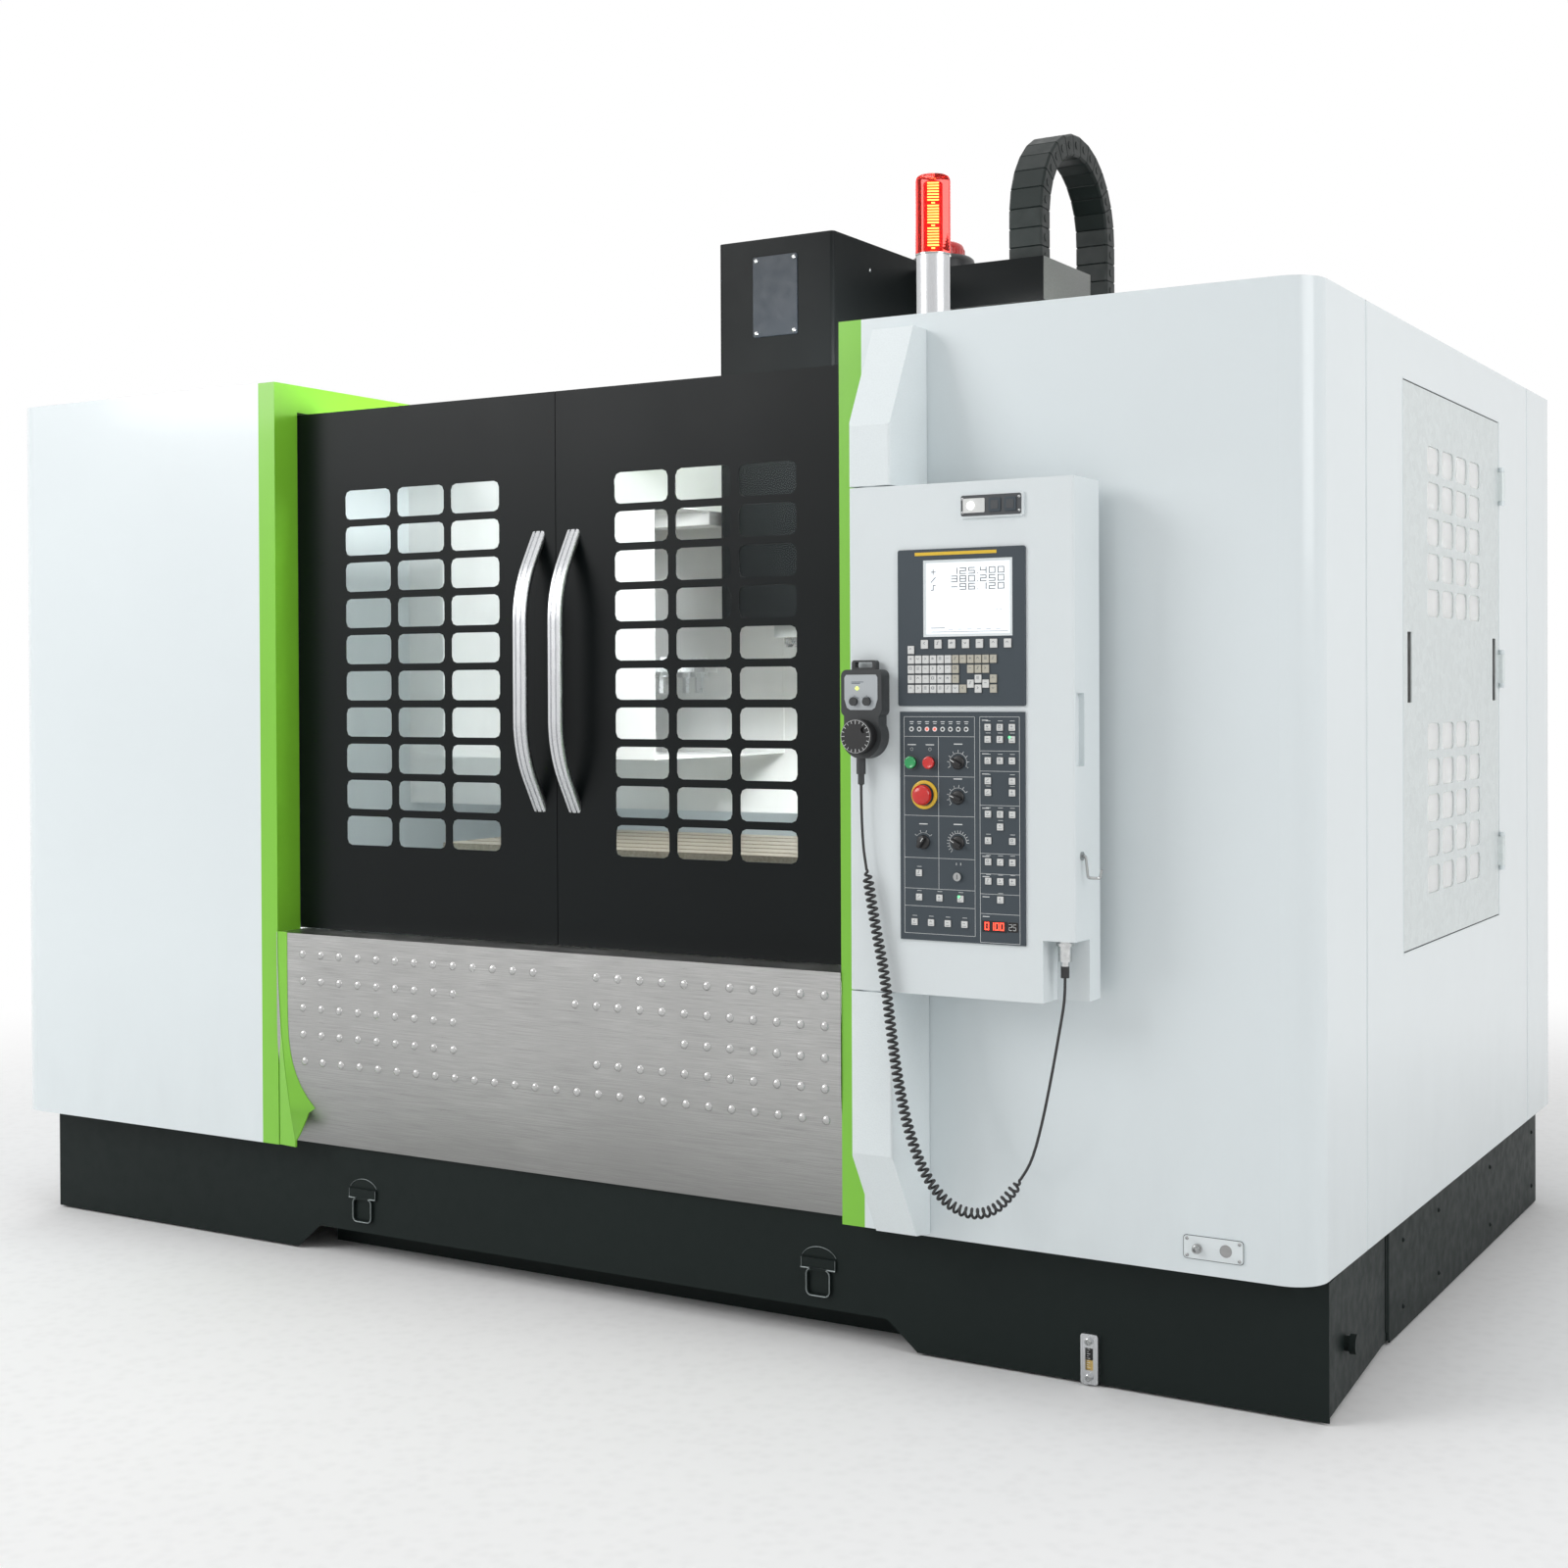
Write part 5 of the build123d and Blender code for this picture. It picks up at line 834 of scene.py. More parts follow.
def panel_print():
    """Frames, scales and small lamps on the operator's plate."""
    left, right, top = (1.085, 1.25), (1.262, 1.352), 1.4446
    scale_r, tick_low, tick_high, title_rise, title = 0.02, 0.0215, 0.0255, 0.0385, 0.009
    first_lamp, lamp_pitch, lamp_z = 1.103, 0.0183, 1.4185
    bm = bmesh.new()
    for x, low in ((left, 0.987), (right, 0.976)):
        glyph(bm, MARKS["frame"], x[0], low, x[1] - x[0], top - low, UNIT_Y, HAIR)
    for z in (1.403, 1.319, 1.236, 1.147, 1.082, 1.045):
        dash(bm, left, z)
    for z in (1.374, 1.332, 1.261, 1.161, 1.119, 1.077, 1.036):
        dash(bm, right, z)
        dash(bm, (1.268, 1.282), z - 0.006, 0.0016)
    dash(bm, (1.268, 1.28), 1.4376, 0.0016)
    stroke(bm, (1.166, 1.082), (1.166, 1.403), UNIT_Y, HAIR)
    for middle, start, end, count in SCALES:
        arc(bm, middle, scale_r, start, end, UNIT_Y, 0.0008)
        degrees = [start + (end - start) * i / (count - 1) for i in range(count)]
        ticks(bm, middle, tick_low, tick_high, degrees, UNIT_Y, 0.0009)
        dash(bm, about(middle[0], title), middle[1] + title_rise, 0.002)
    for x in BUTTONS_X:
        dash(bm, about(x, title), 1.3855, 0.0018)
        arc(bm, (x, 1.376), 0.0032, 0, 360, UNIT_Y, 0.0006, steps=10)
    socket = [(0, 0.0052), (0.0012, 0.0052), (0.0016, 0.0046), (0.0016, 0.003), (0.0009, 0.0028)]
    bulb = [(0.0002, 0.0029), (0.0014, 0.0027), (0.0021, 0.0016), (0.0023, 0)]
    for i in range(8):
        x = first_lamp + lamp_pitch * i
        dash(bm, about(x, 0.004), 1.434, 0.0016)
        dash(bm, about(x, 0.003), 1.43, 0.0012)
        turned(bm, socket, (x, UNIT_Y, lamp_z), 18)
        turned(bm, bulb, (x, UNIT_Y, lamp_z), 14, 1 if i in (2, 3) else 2)
    for x, z in ((1.331, 1.4025), (1.2135, 1.0685)):
        turned(bm, [(0.003, 0.003), (0.0042, 0.0026), (0.0046, 0)], (x, UNIT_Y, z), 14, 3)
    for x in (1.207, 1.217):
        stroke(bm, (x, 1.1345), (x, 1.1385), UNIT_Y, 0.0012)
    piece("panel_print", bm, ["print", "red_led", "knob", "green_led"], "control_panel")


def counter_display():
    """The small red figures in their dark window."""
    bm = bmesh.new()
    slab(bm, (1.2665, 1.3225), (UNIT_Y - 0.0012, UNIT_Y), (0.9985, 1.0215), 0.0005, 1)
    slab(bm, (1.325, 1.348), (UNIT_Y - 0.001, UNIT_Y), (1.0, 1.0205), 0.0005, 1)
    number(bm, "0100", 1.3195, 1.0035, 0.0074, 0.014, UNIT_Y - 0.0013, 0.002, 1)
    number(bm, "25", 1.3465, 1.004, 0.006, 0.012, UNIT_Y - 0.0011, 0.0008, 2)
    piece("counter_display", bm, ["dark_window", "digit", "print"], "control_panel")


def screen_picture():
    """A bright display with three rows of plain figures."""
    glass = -0.262 + OY
    y = glass - 0.0005
    left, right = 1.15, 1.327
    bm = bmesh.new()
    slab(bm, (1.1375, 1.3325), (glass - 0.0004, glass), (1.6175, 1.7685))
    for row, (text, mark) in enumerate((("125.400", "plus"), ("380.250", "slash"), ("-96.120", "step"))):
        z = 1.7435 - row * 0.0165
        number(bm, text, 1.325, z, 0.013, 0.0118, y, 0.0014, 1)
        glyph(bm, MARKS[mark], left, z, 0.01, 0.01, y, 0.0013, 1)
    dash(bm, (left, 1.182), 1.631, 0.001, 1, y=y)
    dash(bm, (left, right), 1.6225, HAIR, 1, y=y)
    for i in range(6):
        dash(bm, about(1.195 + i * 0.022, 0.005), 1.6275, HAIR, 1, y=y)
    for x in (1.3, 1.309):
        dash(bm, (x, x + 0.004), 1.667, HAIR, 1, y=y)
    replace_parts(piece("screen_picture", bm, ["lcd", "screen_ink"], "control_panel"), "screen")


def screen_frame():
    """The raised light frame of the display, and the strip above it."""
    middle, half, rim = (1.235, 1.693), (0.1025, 0.0805), 0.0055
    bm = bmesh.new()
    rings = []
    for inset, level in ((0, 0), (0, -0.0016), (rim, -0.0006), (rim, 0.0008)):
        wide, tall = half[0] - inset, half[1] - inset
        rings.append([bm.verts.new((middle[0] + u * wide, UNIT_Y + level, middle[1] + v * tall))
                      for u, v in ((-1, -1), (1, -1), (1, 1), (-1, 1))])
    loft(bm, rings, ends=False)
    piece("screen_frame", bm, "panel", "control_panel")
    bm = bmesh.new()
    slab(bm, (1.112, 1.302), (UNIT_Y - 0.001, UNIT_Y), (1.7835, 1.7905), 0.0004, 1)
    piece("display_strip", bm, "yellow", "control_panel")


def knob_tops():
    """Skirted knobs with a grip and a pointer, for the four rotary switches."""
    face = UNIT_Y - 0.0003
    front, skirt_front = face - 0.0168, face - 0.004
    grip_half = (0.0038, 0.0132)
    skirt = [(0, 0.015), (0.0018, 0.015), (0.003, 0.0142), (0.0046, 0.0128), (0.0052, 0.0112),
             (0.0052, 0)]
    for name, body, (x, z), turn in (("mode", "mode", MODE, -60),
                                     ("spindle", "spindle_override", SPINDLE, -70),
                                     ("rapid", "rapid", RAPID, 35), ("feed", "feed", FEED, -60)):
        bm = bmesh.new()
        turned(bm, skirt, (x, face, z), 36)
        before = len(bm.verts)
        slab(bm, about(x, grip_half[0]), (front, skirt_front), about(z, grip_half[1]), 0.0018, 3)
        stroke(bm, (x, z + 0.003), (x, z + 0.0115), front, 0.0014, 1)
        bm.verts.ensure_lookup_table()
        bmesh.ops.rotate(bm, cent=(x, 0, z), matrix=Matrix.Rotation(radians(turn), 3, "Y"),
                         verts=bm.verts[before:])
        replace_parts(piece(name + "_grip", bm, ["knob", "print"], body, True), name + "_switch")


def stop_button():
    """The emergency stop: a yellow collar and a red mushroom."""
    x, z, ring = 1.133, 1.28, UNIT_Y - 0.003
    bm = bmesh.new()
    turned(bm, [(-0.0031, 0.0304), (-0.0004, 0.0304), (0.0004, 0.0296), (0.0007, 0.0285), (0.0007, 0.0236),
                (-0.0002, 0.0232)], (x, ring, z), 48)
    piece("stop_ring", bm, "yellow", "control_panel", True)
    bm = bmesh.new()
    turned(bm, [(-0.012, 0.006), (-0.0002, 0.006), (0, 0.015), (0.0008, 0.0208), (0.003, 0.0219),
                (0.0065, 0.0218), (0.0105, 0.0205), (0.0138, 0.0175), (0.0158, 0.013), (0.0167, 0.007),
                (0.017, 0)], (x, ring - 0.0053, z), 48)
    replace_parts(piece("stop_mushroom", bm, "red", "stop", True), "stop_button")


def push_caps():
    """The caps of the start and stop buttons, and their dark rings."""
    cap = [(-0.015, 0.006), (0.0, 0.006), (0.0002, 0.0125), (0.0055, 0.013), (0.0066, 0.0122),
           (0.007, 0.0105), (0.0066, 0.0095), (0.0064, 0)]
    ring = [(0.0, 0.0155), (0.0012, 0.0153), (0.0018, 0.0143), (0.0018, 0.0134), (0.0002, 0.0134)]
    for x, name, node, body, key in ((BUTTONS_X[0], "start_cap", "start_button", "start", "start"),
                                     (BUTTONS_X[1], "halt_cap", "halt_button", "halt", "red")):
        bm = bmesh.new()
        turned(bm, cap, (x, UNIT_Y - 0.0043, BUTTONS_Z), 36)
        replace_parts(piece(name, bm, key, body, True), node)
        bm = bmesh.new()
        turned(bm, ring, (x, UNIT_Y, BUTTONS_Z), 36)
        piece(name + "_ring", bm, "key_dark", "control_panel", True)


def socket_plate():
    """The strip at the top of the panel with its lit window and two sockets."""
    z, strip = 1.8835, -0.265 + OY
    face = strip - 0.0016
    bm = bmesh.new()
    plate(bm, rounded_outline(0.137, 0.043, 0.004), (1.2905, strip, z), 0.0016, 0.0006)
    plate(bm, rounded_outline(0.05, 0.03, 0.003), (1.252, face, z), 0.0012, 0.0004, 1)
    bulb = [(0, 0.0085), (0.0016, 0.008), (0.0034, 0.0055), (0.0042, 0)]
    turned(bm, bulb, (1.245, face - 0.0012, z), 24, 2)
    for x in (1.3, 1.335):
        plate(bm, rounded_outline(0.027, 0.029, 0.003), (x, face, z), 0.0022, 0.0008, 3)
        plate(bm, rounded_outline(0.017, 0.018, 0.002), (x, face - 0.0022, z), 0.0008, 0.0003, 4)
    corner_screws(bm, (1.2905, face, z), 0.0645, 0.014, 0.003, 0.0014, 5)
    keys = ["key_dark", "key", "white_led", "plate", "key_dark", "chrome"]
    piece("socket_strip", bm, keys, "control_panel")


key_caps()
panel_print()
counter_display()
screen_picture()
screen_frame()
knob_tops()
stop_button()
push_caps()
socket_plate()


# Body: sill, handles, pendant and lamp

SILL_FRONT = -0.084
SILL_STRAIGHT = 0.62
SILL_CURVE = 0.79


def sill_y(z):
    """Depth of the sill's face at a height: upright above, then curving back towards its foot."""
    if z >= SILL_STRAIGHT:
        return SILL_FRONT + OY
    drop = SILL_STRAIGHT - z
    return SILL_FRONT + SILL_CURVE - sqrt(SILL_CURVE ** 2 - drop ** 2) + OY


def sill_domes():
    """Rows of pressed domes; the middle of the upper rows is left bare."""
    rows = ((0.81, range(13, 15)), (0.74, range(9, 14)), (0.668, range(9, 19)), (0.598, range(9, 15)),
            (0.526, ()))
    first, pitch = -0.805, 0.0636
    dome = [(-0.0006, 0.0112), (0.0004, 0.0108), (0.0018, 0.0096), (0.0034, 0.0076), (0.0045, 0.0048),
            (0.005, 0.002), (0.0051, 0)]
    bm = bmesh.new()
    for z, bare in rows:
        for column in range(26):
            if column not in bare:
                turned(bm, dome, (first + column * pitch, sill_y(z), z), 18)
    piece("sill_domes", bm, "dome", "machine", True)


def grip_line(low, high, reach, bend, radius, steps=8):
    """Stations (out, height, lean) of a grip whose straight middle turns in to the door at both ends."""
    lean = atan2(reach, bend)
    back = radius * tan(lean / 2)
    start = (reach - back * sin(lean), low + bend - back * cos(lean))
    centre = (start[0] - radius * cos(lean), start[1] + radius * sin(lean))
    lower = [(0.0, low, lean)]
    for i in range(steps + 1):
        angle = lean * (1 - i / steps)
        lower.append((centre[0] + radius * cos(angle), centre[1] - radius * sin(angle), angle))
    return lower + [(out, low + high - z, -angle) for out, z, angle in reversed(lower)]


def bent_handle(name, body, x):
    """A grip of drawn aluminium: a flat oval with two fine grooves, its ends bent in to the door."""
    door = 0.01 + OY
    half = [(0.0054, -0.0088), (0.0066, -0.006), (0.0086, -0.006), (0.0098, -0.009), (0.0168, -0.0082),
            (0.0198, -0.0045), (0.0204, 0.0)]
    back = [(0.0198, 0.0045), (0.0156, 0.0078), (0.0, 0.0092), (-0.0156, 0.0078), (-0.0198, 0.0045)]
    across = [(-px, py) for px, py in half[::-1]] + half + back
    bm = bmesh.new()
    rings = []
    for out, z, lean in grip_line(1.204, 1.9, 0.085, 0.15, 0.3):
        normal = Vector((0, -cos(lean), -sin(lean)))
        centre = Vector((x, door - out + 0.009 * cos(lean), z))
        rings.append([bm.verts.new(centre + Vector((px, 0, 0)) - normal * py) for px, py in across])
    loft(bm, rings)
    return piece(name, bm, "aluminium", body, True)


def post_flare():
    """The green gusset beside the sill, which widens down to the skirt and returns to the sill's face."""
    inner, top, wide, low, foot = -0.892, 0.866, 0.397, 0.313, 0.2965
    front, sheet, reach_top, reach_wide, widening = -0.087 + OY, 0.0018, 0.033, 0.099, 0.06
    heights = [top - (top - wide) * i / 16 for i in range(17)] + [0.383, 0.366, 0.345, 0.328, low, foot]
    bm = bmesh.new()
    rings = []
    for z in heights:
        edge = inner + widening * min(1.0, (top - z) / (top - low)) ** 2.2
        if z >= wide:
            reach = inner + reach_top + (reach_wide - reach_top) * ((top - z) / (top - wide)) ** 6
            depth = sill_y(z) - 0.001
        else:
            part = max(0.0, (z - low) / (wide - low))
            reach = edge + 0.001 + (reach_wide - widening) * part
            depth = front + 0.002 + (sill_y(wide) - front - 0.002) * part ** 0.7
        depth = max(depth, front + sheet)
        ring = [(inner - 0.0005, front + 0.0066), (edge, front), (edge + 0.0006, front + sheet),
                (reach, depth), (reach, depth + 0.004), (inner - 0.0005, depth + 0.004)]
        rings.append([bm.verts.new((x, y, z)) for x, y in ring])
    loft(bm, rings)
    piece("post_flare", bm, "green", "machine", True)


def pendant_details():
    """Face plate, lamp, the selector knobs' scales and the dial's scale."""
    x, face, dial = 0.999, -0.2953 + OY, (0.999, 1.403)
    print_y, front = face - 0.0014, face - 0.0263
    half = [(0.036, 0.04), (0.04, 0.034), (0.04, -0.012), (0.034, -0.03), (0.026, -0.035)]
    bm = bmesh.new()
    plate(bm, [(-px, pz) for px, pz in half] + half[::-1], (x, face, 1.494), 0.0014, 0.0004)
    bulb = [(0.0014, 0.004), (0.003, 0.0034), (0.0038, 0.0016), (0.0039, 0)]
    turned(bm, bulb, (0.99, face, 1.505), 18, 1)
    for knob_x in (0.984, 1.013):
        arc(bm, (knob_x, 1.477), 0.0105, -55, 55, print_y, HAIR, 2, 8)
        ticks(bm, (knob_x, 1.477), 0.0115, 0.0135, (-50, 0, 50), print_y, 0.0008, 2)
    dash(bm, (0.977, 1.005), 1.5185, 0.0012, 2, y=print_y)
    dash(bm, (0.977, 0.997), 1.5155, 0.0012, 2, y=print_y)
    piece("pendant_face", bm, ["pendant_plate", "pendant_led", "ink"], "control_panel")
    bm = bmesh.new()
    for i in range(20):
        ticks(bm, dial, 0.029 if i % 5 else 0.027, 0.0335, [18 * i], front, 0.0011)
    arc(bm, dial, 0.0348, 0, 360, front, 0.0006, steps=48)
    piece("dial_scale", bm, "print", "dial")


def cord_boot():
    """The ribbed strain relief under the pendant."""
    bm = bmesh.new()
    profile = [(0.0, 0.0095), (0.004, 0.0098)]
    for i in range(7):
        at = 0.008 + i * 0.0072
        radius = 0.0092 - i * 0.0006
        valley = radius - 0.0018
        profile += [(at, radius), (at + 0.0034, radius), (at + 0.004, valley), (at + 0.0066, valley)]
    profile += [(0.06, 0.0042), (0.0605, 0.0032)]
    turned(bm, profile, (0.99, -0.28 + OY, 1.358), 28, axis=(0, 0, -1))
    piece("pendant_boot", bm, "knob", "control_panel", True)


def lamp():
    """A ribbed clear red lens over a strip of amber diodes, with a dark inner post."""
    x, y, low, roof = 0.99, 0.07 + OY, 2.49, 2.33
    lens_r, rib_pitch, post_r, diode_pitch = 0.0398, 0.007, 0.02, 0.0064
    foot = (x, y, low)
    profile = [(0.0, 0.0385), (0.002, lens_r)]
    for i in range(22):
        at = 0.006 + i * rib_pitch
        profile += [(at, lens_r), (at + 0.0035, lens_r - 0.0003), (at + 0.0055, lens_r - 0.0002)]
    profile += [(0.164, lens_r), (0.17, 0.039), (0.174, 0.037), (0.1768, 0.0335), (0.1778, 0.03),
                (0.178, 0.0)]
    bm = bmesh.new()
    turned(bm, profile, foot, 48, axis=UP)
    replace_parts(piece("lamp_shell", bm, "lens", "machine", True), "lamp_lens")
    bm = bmesh.new()
    turned(bm, [(0.004, post_r), (0.16, post_r), (0.164, 0.016), (0.164, 0)], foot, 20, axis=UP)
    for u, v in polar_arc(1.0, -62, 118, 1):
        out = Vector((u, v, 0))
        side = Vector((-out.y, out.x, 0))
        for row in range(24):
            centre = Vector((x, y, low + 0.01 + row * diode_pitch)) + out * (post_r + 0.0005)
            wide = side * (0.0125 if row % 8 else 0.004)
            tall = Vector((0, 0, 0.0013))
            quad = [centre - wide - tall, centre + wide - tall, centre + wide + tall, centre - wide + tall]
            back = [bm.verts.new(p) for p in quad]
            front = [bm.verts.new(p + out * 0.0022) for p in quad]
            loft(bm, [back, front], 1, ends=False)
            bm.faces.new(front).material_index = 1
    piece("lamp_diodes", bm, ["red", "lamp_led"], "machine")
    bm = bmesh.new()
    collar = [(-0.004, 0.0402), (-0.0005, 0.0402), (0.0, 0.0396)]
    flange = [(0.0, 0.047), (0.003, 0.047), (0.0045, 0.046), (0.01, 0.04)]
    turned(bm, collar, foot, 48, axis=UP)
    turned(bm, flange, (x, y, roof), 48, axis=UP)
    piece("lamp_rings", bm, "chrome", "machine", True)


def cover_plate():
    """The bare plate on the head cover, held by four screws."""
    x, y, z = -0.035, 1.08 + OY, 2.655
    bm = bmesh.new()
    plate(bm, rounded_outline(0.15, 0.235, 0.006), (x, y, z), 0.004, 0.0012)
    corner_screws(bm, (x, y - 0.004, z), 0.064, 0.106, 0.0065, 0.003, 1)
    piece("cover_plate", bm, ["bare_plate", "chrome"], "head")


sill_domes()
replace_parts(bent_handle("grip_left", "left_door", -0.089), "handle_left")
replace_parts(bent_handle("grip_right", "right_door", 0.019), "handle_right")
post_flare()
pendant_details()
cord_boot()
lamp()
cover_plate()


# Details: folds, fittings, fasteners and covers

RIGHT = 1.915
SIDE_SEAM, REAR_SEAM = 0.283, 1.88
HOUSING = (0.295, 2.33)


def bead(bm, start, end, out, width, height, steps=6):
    """A low half-round bead from start to end, lying on the face whose normal is out."""
    start, end, out = Vector(start), Vector(end), Vector(out).normalized()
    side = (end - start).normalized().cross(out)
    rings = []
    for at in (start, end):
        ring = []
        for i in range(steps + 1):
            angle = pi * i / steps
            rise = out * (sin(angle) * height - 0.0001)
            ring.append(bm.verts.new(at + side * (cos(angle) * width / 2) + rise))
        rings.append(ring)
    loft(bm, rings)


def beads(bm, points, out, width, height):
    """Beads that join a row of points."""
    for a, b in zip(points, points[1:]):
        bead(bm, a, b, out, width, height)


def folded_seams():
    """The rounded folds that catch the light where two sheets of the housing meet, and near-black strips in
    the seams and along the side door's edge as painted shadow.
    """
    line, rise, shift, gap = 0.0046, 0.0012, 0.0032, 0.0008
    low, high = HOUSING[0] + 0.003, HOUSING[1] - 0.003
    sides = ((1, SIDE_SEAM), (1, REAR_SEAM), (-1, REAR_SEAM))
    door_y, door_z = row_y(0.5775, 1.5375), (0.8975, 2.2025)
    bm = bmesh.new()
    for way, seam in sides:
        for y in row_y(seam - shift, seam + shift):
            bead(bm, (way * RIGHT, y, low), (way * RIGHT, y, high), (way, 0, 0), line, rise)
    corners = [(RIGHT, door_y[a], door_z[b]) for a, b in ((0, 0), (1, 0), (1, 1), (0, 1), (0, 0))]
    beads(bm, corners, (1, 0, 0), 0.0042, rise)
    piece("folded_seams", bm, "white", "machine", True)
    bm = bmesh.new()
    # Painted shadow: near-black strips fill the seams and line the side door's gap.
    for way, seam in sides:
        slab(bm, sorted((way * (RIGHT - 0.0002), way * (RIGHT + 0.0003))), about(seam + OY, gap), HOUSING)
    shadow = (RIGHT - 0.0028, RIGHT - 0.0012)
    for z in ((2.1968, 2.2004), (0.8996, 0.9032)):
        slab(bm, shadow, row_y(0.583, 1.532), z)
    slab(bm, shadow, row_y(0.5796, 0.5832), (0.9, 2.2))
    piece("seam_shadow_strips", bm, "seal", "machine")


def fitting_plate():
    """The raised plate on the right front: four corner screws, a push-in fitting and a plugged hole, with a
    near-black rim behind its edge as painted shadow.
    """
    x, y, z, thick = 1.7, -0.083 + OY, 0.351, 0.0014
    face = y - thick
    fitting = [(0.0, 0.0105), (0.0025, 0.0105), (0.0028, 0.0085), (0.008, 0.0085), (0.0085, 0.0072),
               (0.015, 0.0068), (0.0158, 0.0058), (0.0158, 0.004), (0.01, 0.0036), (0.01, 0.0)]
    plug = [(0.0, 0.013), (0.0008, 0.0128), (0.0008, 0.0118), (0.0002, 0.0116), (0.0002, 0.0)]
    bm = bmesh.new()
    # Painted shadow: a near-black rim just outside the plate's outline, behind it.
    plate(bm, rounded_outline(0.1292, 0.0492, 0.0075), (x, y + 0.0001, z), 0.0005, 0, 3)
    plate(bm, rounded_outline(0.1268, 0.0468, 0.007), (x, y, z), thick, 0.0005)
    corner_screws(bm, (x, face, z), 0.056, 0.0175, 0.0038, 0.002, 1)
    turned(bm, fitting, (1.666, face, 0.349), 28, 1)
    turned(bm, plug, (1.727, face, z), 32, 2)
    piece("fitting_plate", bm, ["panel", "chrome", "rail", "seal"], "machine", True)


def gauge_details():
    """The sight gauge's window with its scale and oil line, and the two bright cap screws."""
    face, window, scale_x = -0.007 + OY, (1.3873, 1.4047), 1.3885
    bm = bmesh.new()
    slab(bm, window, (face, face + 0.0008), (0.0355, 0.0825))
    slab(bm, window, (face - 0.0006, face), (0.0355, 0.056), index=1)
    for i in range(9):
        z = 0.04 + i * 0.0048
        wide = 0.005 if i % 2 else 0.008
        slab(bm, (scale_x, scale_x + wide), (face - 0.0011, face - 0.0004), (z, z + 0.0008), index=2)
    for z in (0.098, 0.02):
        screw_head(bm, (1.396, -0.018 + OY, z), 0.0078, 0.0022, 3)
    piece("gauge_window", bm, ["dark_window", "brass", "print", "chrome"], "machine", True)


def ring_handles():
    """Bare metal where the paint has worn off the drop rings and their brackets."""
    ring_y, bar_y, z = -0.008 + OY, -0.006 + OY, 0.13
    ring_size, ring_corner, bare_below, bracket_half, bracket_z = 0.062, 0.013, 0.03, 0.045, (0.1605, 0.1855)
    bm = bmesh.new()
    for x in (-0.672, 0.72):
        ring = [(px + x, pz + z) for px, pz in rounded_outline(ring_size, ring_size, ring_corner, 5)]
        for (ax, az), (bx, bz) in zip(ring, ring[1:] + ring[:1]):
            if min(az, bz) <= z + bare_below:
                bead(bm, (ax, ring_y, az), (bx, ring_y, bz), FRONT, 0.0034, 0.0012)
        bar = [(end, bar_y, bracket_z[0] + 0.0007) for end in about(x, bracket_half + 0.001)]
        beads(bm, bar, FRONT, 0.0042, 0.002)
        for edge in about(x, bracket_half):
            bead(bm, (edge, bar_y, bracket_z[0]), (edge, bar_y, bracket_z[1]), FRONT, 0.0016, 0.0008)
        arch = [(x + 0.048 * u, OY, 0.178 + 0.034 * v) for u, v in polar_arc(1, 20, 160, 12)]
        beads(bm, arch, FRONT, 0.002, 0.0014)
    piece("ring_edges", bm, "worn", "machine", True)


def skirt_bolts():
    """Bolt heads on the skirt's sides and rear."""
    upper, lower, size = 0.215, 0.06, (0.0055, 0.0035)
    bm = bmesh.new()
    for y in row_y(0.72, 1.05, 1.6, 2.12):
        for z in (upper, lower):
            screw_head(bm, (1.875, y, z), *size, axis=(1, 0, 0))
            screw_head(bm, (-1.845, y, z), *size, axis=(-1, 0, 0))
    for x in (-1.75, -1.25, -0.85, 0.85, 1.25, 1.75):
        screw_head(bm, (x, 2.18 + OY, upper), *size, axis=(0, 1, 0))
    piece("skirt_bolts", bm, "base", "machine", True)


def motor_cap():
    """The Z motor's red fan cap with its ribs, the motor's rings and the plug on its side."""
    x, y, low, cap_r, motor_r = -0.02, 2.14 + OY, 2.91, 0.0735, 0.1002
    seat = Vector((x, y, low))
    collar = [(-0.03, motor_r), (-0.03, 0.107), (0.01, 0.108), (0.022, 0.105), (0.03, 0.096),
              (0.034, 0.08), (0.034, 0.072)]
    cap = [(0.0, cap_r), (0.056, cap_r), (0.064, 0.0722), (0.072, 0.068), (0.078, 0.06), (0.0815, 0.048),
           (0.0825, 0.03), (0.0828, 0)]
    ring = [(0.0, 0.1004), (0.002, 0.1022), (0.01, 0.1022), (0.012, 0.1004)]
    bm = bmesh.new()
    turned(bm, collar, seat, 48, 1, UP)
    turned(bm, cap, seat, 48, 0, UP)
    for u, v in polar_arc(1.0, 0, 345, 23):
        out = Vector((u, v, 0))
        rib = [seat + out * cap_r + Vector((0, 0, z)) for z in (0.036, 0.056)]
        bead(bm, *rib, out, 0.003, 0.0016)
    for z in (2.706, 2.76, 2.814, 2.868):
        turned(bm, ring, (x, y, z), 56, 1, UP)
    slab(bm, (x + 0.098, x + 0.15), about(y, 0.03), about(2.82, 0.03), 0.005, 2, 1)
    piece("motor_cap", bm, ["red", "motor"], "machine", True)


def door_pulls():
    """Shallow cups behind the two slots of the side door."""
    sheet, width = 0.002, 0.036
    back = RIGHT - 0.023
    deep = (back + sheet, RIGHT - 0.0031)
    z = (1.467, 1.629)
    bm = bmesh.new()
    for low in row_y(0.617, 1.462):
        y = (low, low + width)
        round_y, round_z = (y[0] - sheet, y[1] + sheet), (z[0] - sheet, z[1] + sheet)
        slab(bm, (back, back + sheet), round_y, round_z)
        for side_y, side_z in (((round_y[0], y[0]), round_z), ((y[1], round_y[1]), round_z),
                               (y, (round_z[0], z[0])), (y, (z[1], round_z[1]))):
            slab(bm, deep, side_y, side_z)
    piece("pull_cups", bm, "rail", "side_door_body")


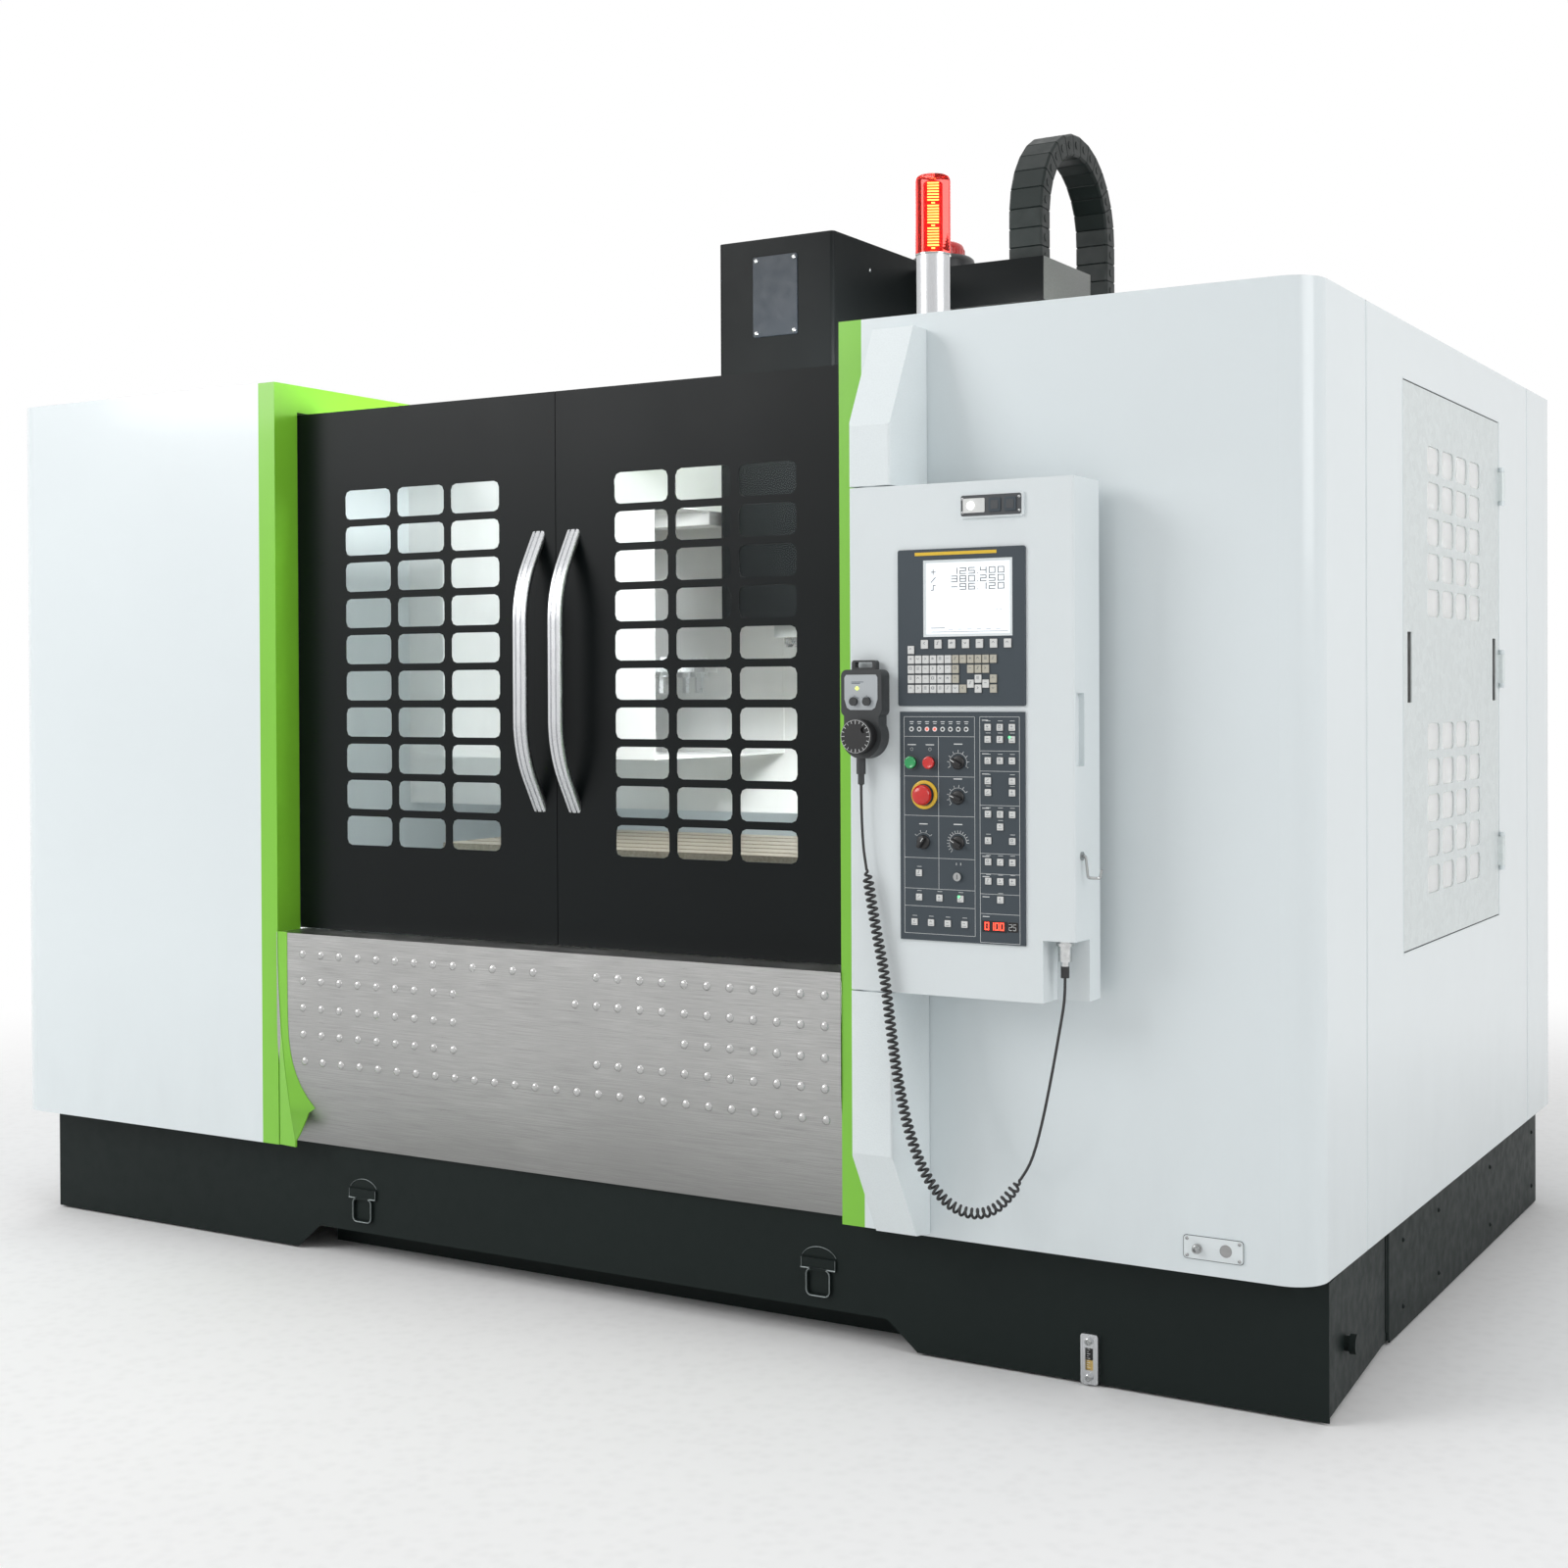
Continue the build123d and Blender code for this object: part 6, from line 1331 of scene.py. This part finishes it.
def chip_pan():
    """The sheet floor between the bed and the housings, which sheds chips and coolant to the tank."""
    sheet = (0.742, 0.744)
    wall_back, bed_left, bed_right, door_back, post_front = 2.15, -0.466, 0.396, 0.01, -0.075
    bm = bmesh.new()
    for x, y in (((-1.91, bed_left), (door_back, wall_back)), ((bed_right, 1.91), (door_back, wall_back)),
                 ((bed_left, bed_right), (door_back, 0.328)), ((-0.894, 0.824), (-0.08, door_back)),
                 ((-1.838, -0.902), (post_front, door_back)), ((0.832, 1.838), (post_front, door_back))):
        slab(bm, x, row_y(*y), sheet)
    for x in (-1.6, -1.25, -0.9, 0.85, 1.2, 1.55):
        slab(bm, about(x, 0.012), row_y(0.05, 1.6), (sheet[1], 0.7485), 0.002)
    piece("chip_pan", bm, "wall", "machine")


def head_sheets():
    """The black head cover: folded front and sides, a lid, a back and the cable tray behind it."""
    x, y, z = (-0.23, 0.16), row_y(1.08, 1.603), (1.712, 2.824)
    sheet, fold, round_edge = 0.003, 0.012, 0.0008
    lid = z[1] - sheet
    outer, inner = [(x[0], y[1])], [(x[0] + sheet, y[1])]
    for cx, start in ((x[0] + fold, 180), (x[1] - fold, 270)):
        for line, radius in ((outer, fold), (inner, fold - sheet)):
            line += [(cx + u, y[0] + fold + v) for u, v in polar_arc(radius, start, start + 90, 6)]
    outer.append((x[1], y[1]))
    inner.append((x[1] - sheet, y[1]))
    bm = bmesh.new()
    loft(bm, [[bm.verts.new((px, py, level)) for px, py in outer + inner[::-1]] for level in (z[0], lid)])
    middle = (sum(x) / 2, sum(y) / 2)
    outline = [(px - middle[0], py - middle[1]) for px, py in outer]
    plate(bm, outline, (*middle, lid), sheet, 0.0015, up=(0, 1, 0), out=UP)
    slab(bm, (x[0] + sheet, x[1] - sheet), (y[1] - sheet, y[1]), (2.56, lid))
    tray_x, tray_y, floor, rim = (x[0], TRAY_RIGHT), row_y(1.6, 1.96), 2.665, 2.795
    slab(bm, tray_x, tray_y, (floor, floor + sheet), round_edge)
    for part_x, part_y in ((tray_x, (tray_y[0], tray_y[0] + sheet)),
                           (tray_x, (tray_y[1] - sheet, tray_y[1])),
                           ((tray_x[0], tray_x[0] + sheet), tray_y),
                           ((tray_x[1] - sheet, tray_x[1]), tray_y)):
        slab(bm, part_x, part_y, (floor + 0.001, rim), round_edge)
    for screw_z in (2.745, 1.8):
        screw_head(bm, (x[1], 1.3 + OY, screw_z), 0.0055, 0.0025, 1, (1, 0, 0))
    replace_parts(piece("head_sheets", bm, ["cover", "chrome"], "head", True), "head_cover")


CHAIN_X = (0.443, 0.552)
CHAIN_LOW, CHAIN_FIXED, ARCH_Z = 2.668, 2.3, 2.94
ARCH_Y, ARCH_R = 1.952 + OY, 0.258
CHAIN_HALF = 0.034
CHAIN_LENGTH = (ARCH_Z - CHAIN_LOW) + pi * ARCH_R + (ARCH_Z - CHAIN_FIXED)


def chain_station(along):
    """Place and outward direction (y, z, out y, out z) at a length along the chain's middle line."""
    rise = ARCH_Z - CHAIN_LOW
    turn = pi * ARCH_R
    if along <= rise:
        return ARCH_Y - ARCH_R, CHAIN_LOW + along, -1.0, 0.0
    if along >= rise + turn:
        return ARCH_Y + ARCH_R, ARCH_Z - (along - rise - turn), 1.0, 0.0
    angle = pi - (along - rise) / ARCH_R
    out = cos(angle), sin(angle)
    return ARCH_Y + ARCH_R * out[0], ARCH_Z + ARCH_R * out[1], *out


def chain_ring(bm, along, outline):
    """Corners of the chain's outline (x, outwards) at a length along it."""
    y, z, out_y, out_z = chain_station(along)
    return [bm.verts.new((px, y + out_y * po, z + out_z * po)) for px, po in outline]


def chain_links():
    """The cable chain: flat-lidded links with fine gaps, from the tray over the arch to the rear."""
    corner, gap, chamfer, waist, core, link_length = 0.006, 0.0007, 0.0024, 0.0016, 0.004, 0.0579
    x0, x1 = CHAIN_X
    count = round(CHAIN_LENGTH / link_length)
    pitch = CHAIN_LENGTH / count
    pin = [(-0.0005, 0.0125), (0.001, 0.0125), (0.0016, 0.011), (0.0016, 0)]
    bm = bmesh.new()
    for link in range(count):
        rings = []
        for at, inset in ((gap, waist), (chamfer, 0.0), (pitch - chamfer, 0.0), (pitch - gap, waist)):
            left, right, half = x0 + inset, x1 - inset, CHAIN_HALF - inset
            outline = [(left + corner, half), (right - corner, half), (right, half - corner),
                       (right, corner - half), (right - corner, -half), (left + corner, -half),
                       (left, corner - half), (left, half - corner)]
            rings.append(chain_ring(bm, link * pitch + at, outline))
        loft(bm, rings)
        y, z = chain_station((link + 0.5) * pitch)[:2]
        for x, way in ((x0, -1), (x1, 1)):
            turned(bm, pin, (x, y, z), 18, axis=(way, 0, 0))
    half = CHAIN_HALF - core
    outline = [(x0 + core, half), (x1 - core, half), (x1 - core, -half), (x0 + core, -half)]
    loft(bm, [chain_ring(bm, CHAIN_LENGTH * step / 64, outline) for step in range(65)])
    chain = mesh_object("chain_links", bm, "chain")
    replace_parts(chain, "cable_chain")
    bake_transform(chain)


def slot_sheets():
    """Narrow white sheets that close the splash wall up to the head, left and right of it."""
    bm = bmesh.new()
    for x, top in (((-0.2905, -0.238), 2.327), ((0.168, 0.2205), 2.1)):
        slab(bm, x, row_y(1.64, 1.643), (1.106, top))
    piece("slot_sheets", bm, "wall", "machine")


folded_seams()
fitting_plate()
gauge_details()
ring_handles()
skirt_bolts()
motor_cap()
door_pulls()
chip_pan()
head_sheets()
chain_links()
slot_sheets()

bpy.context.scene.view_settings.view_transform = "Standard"
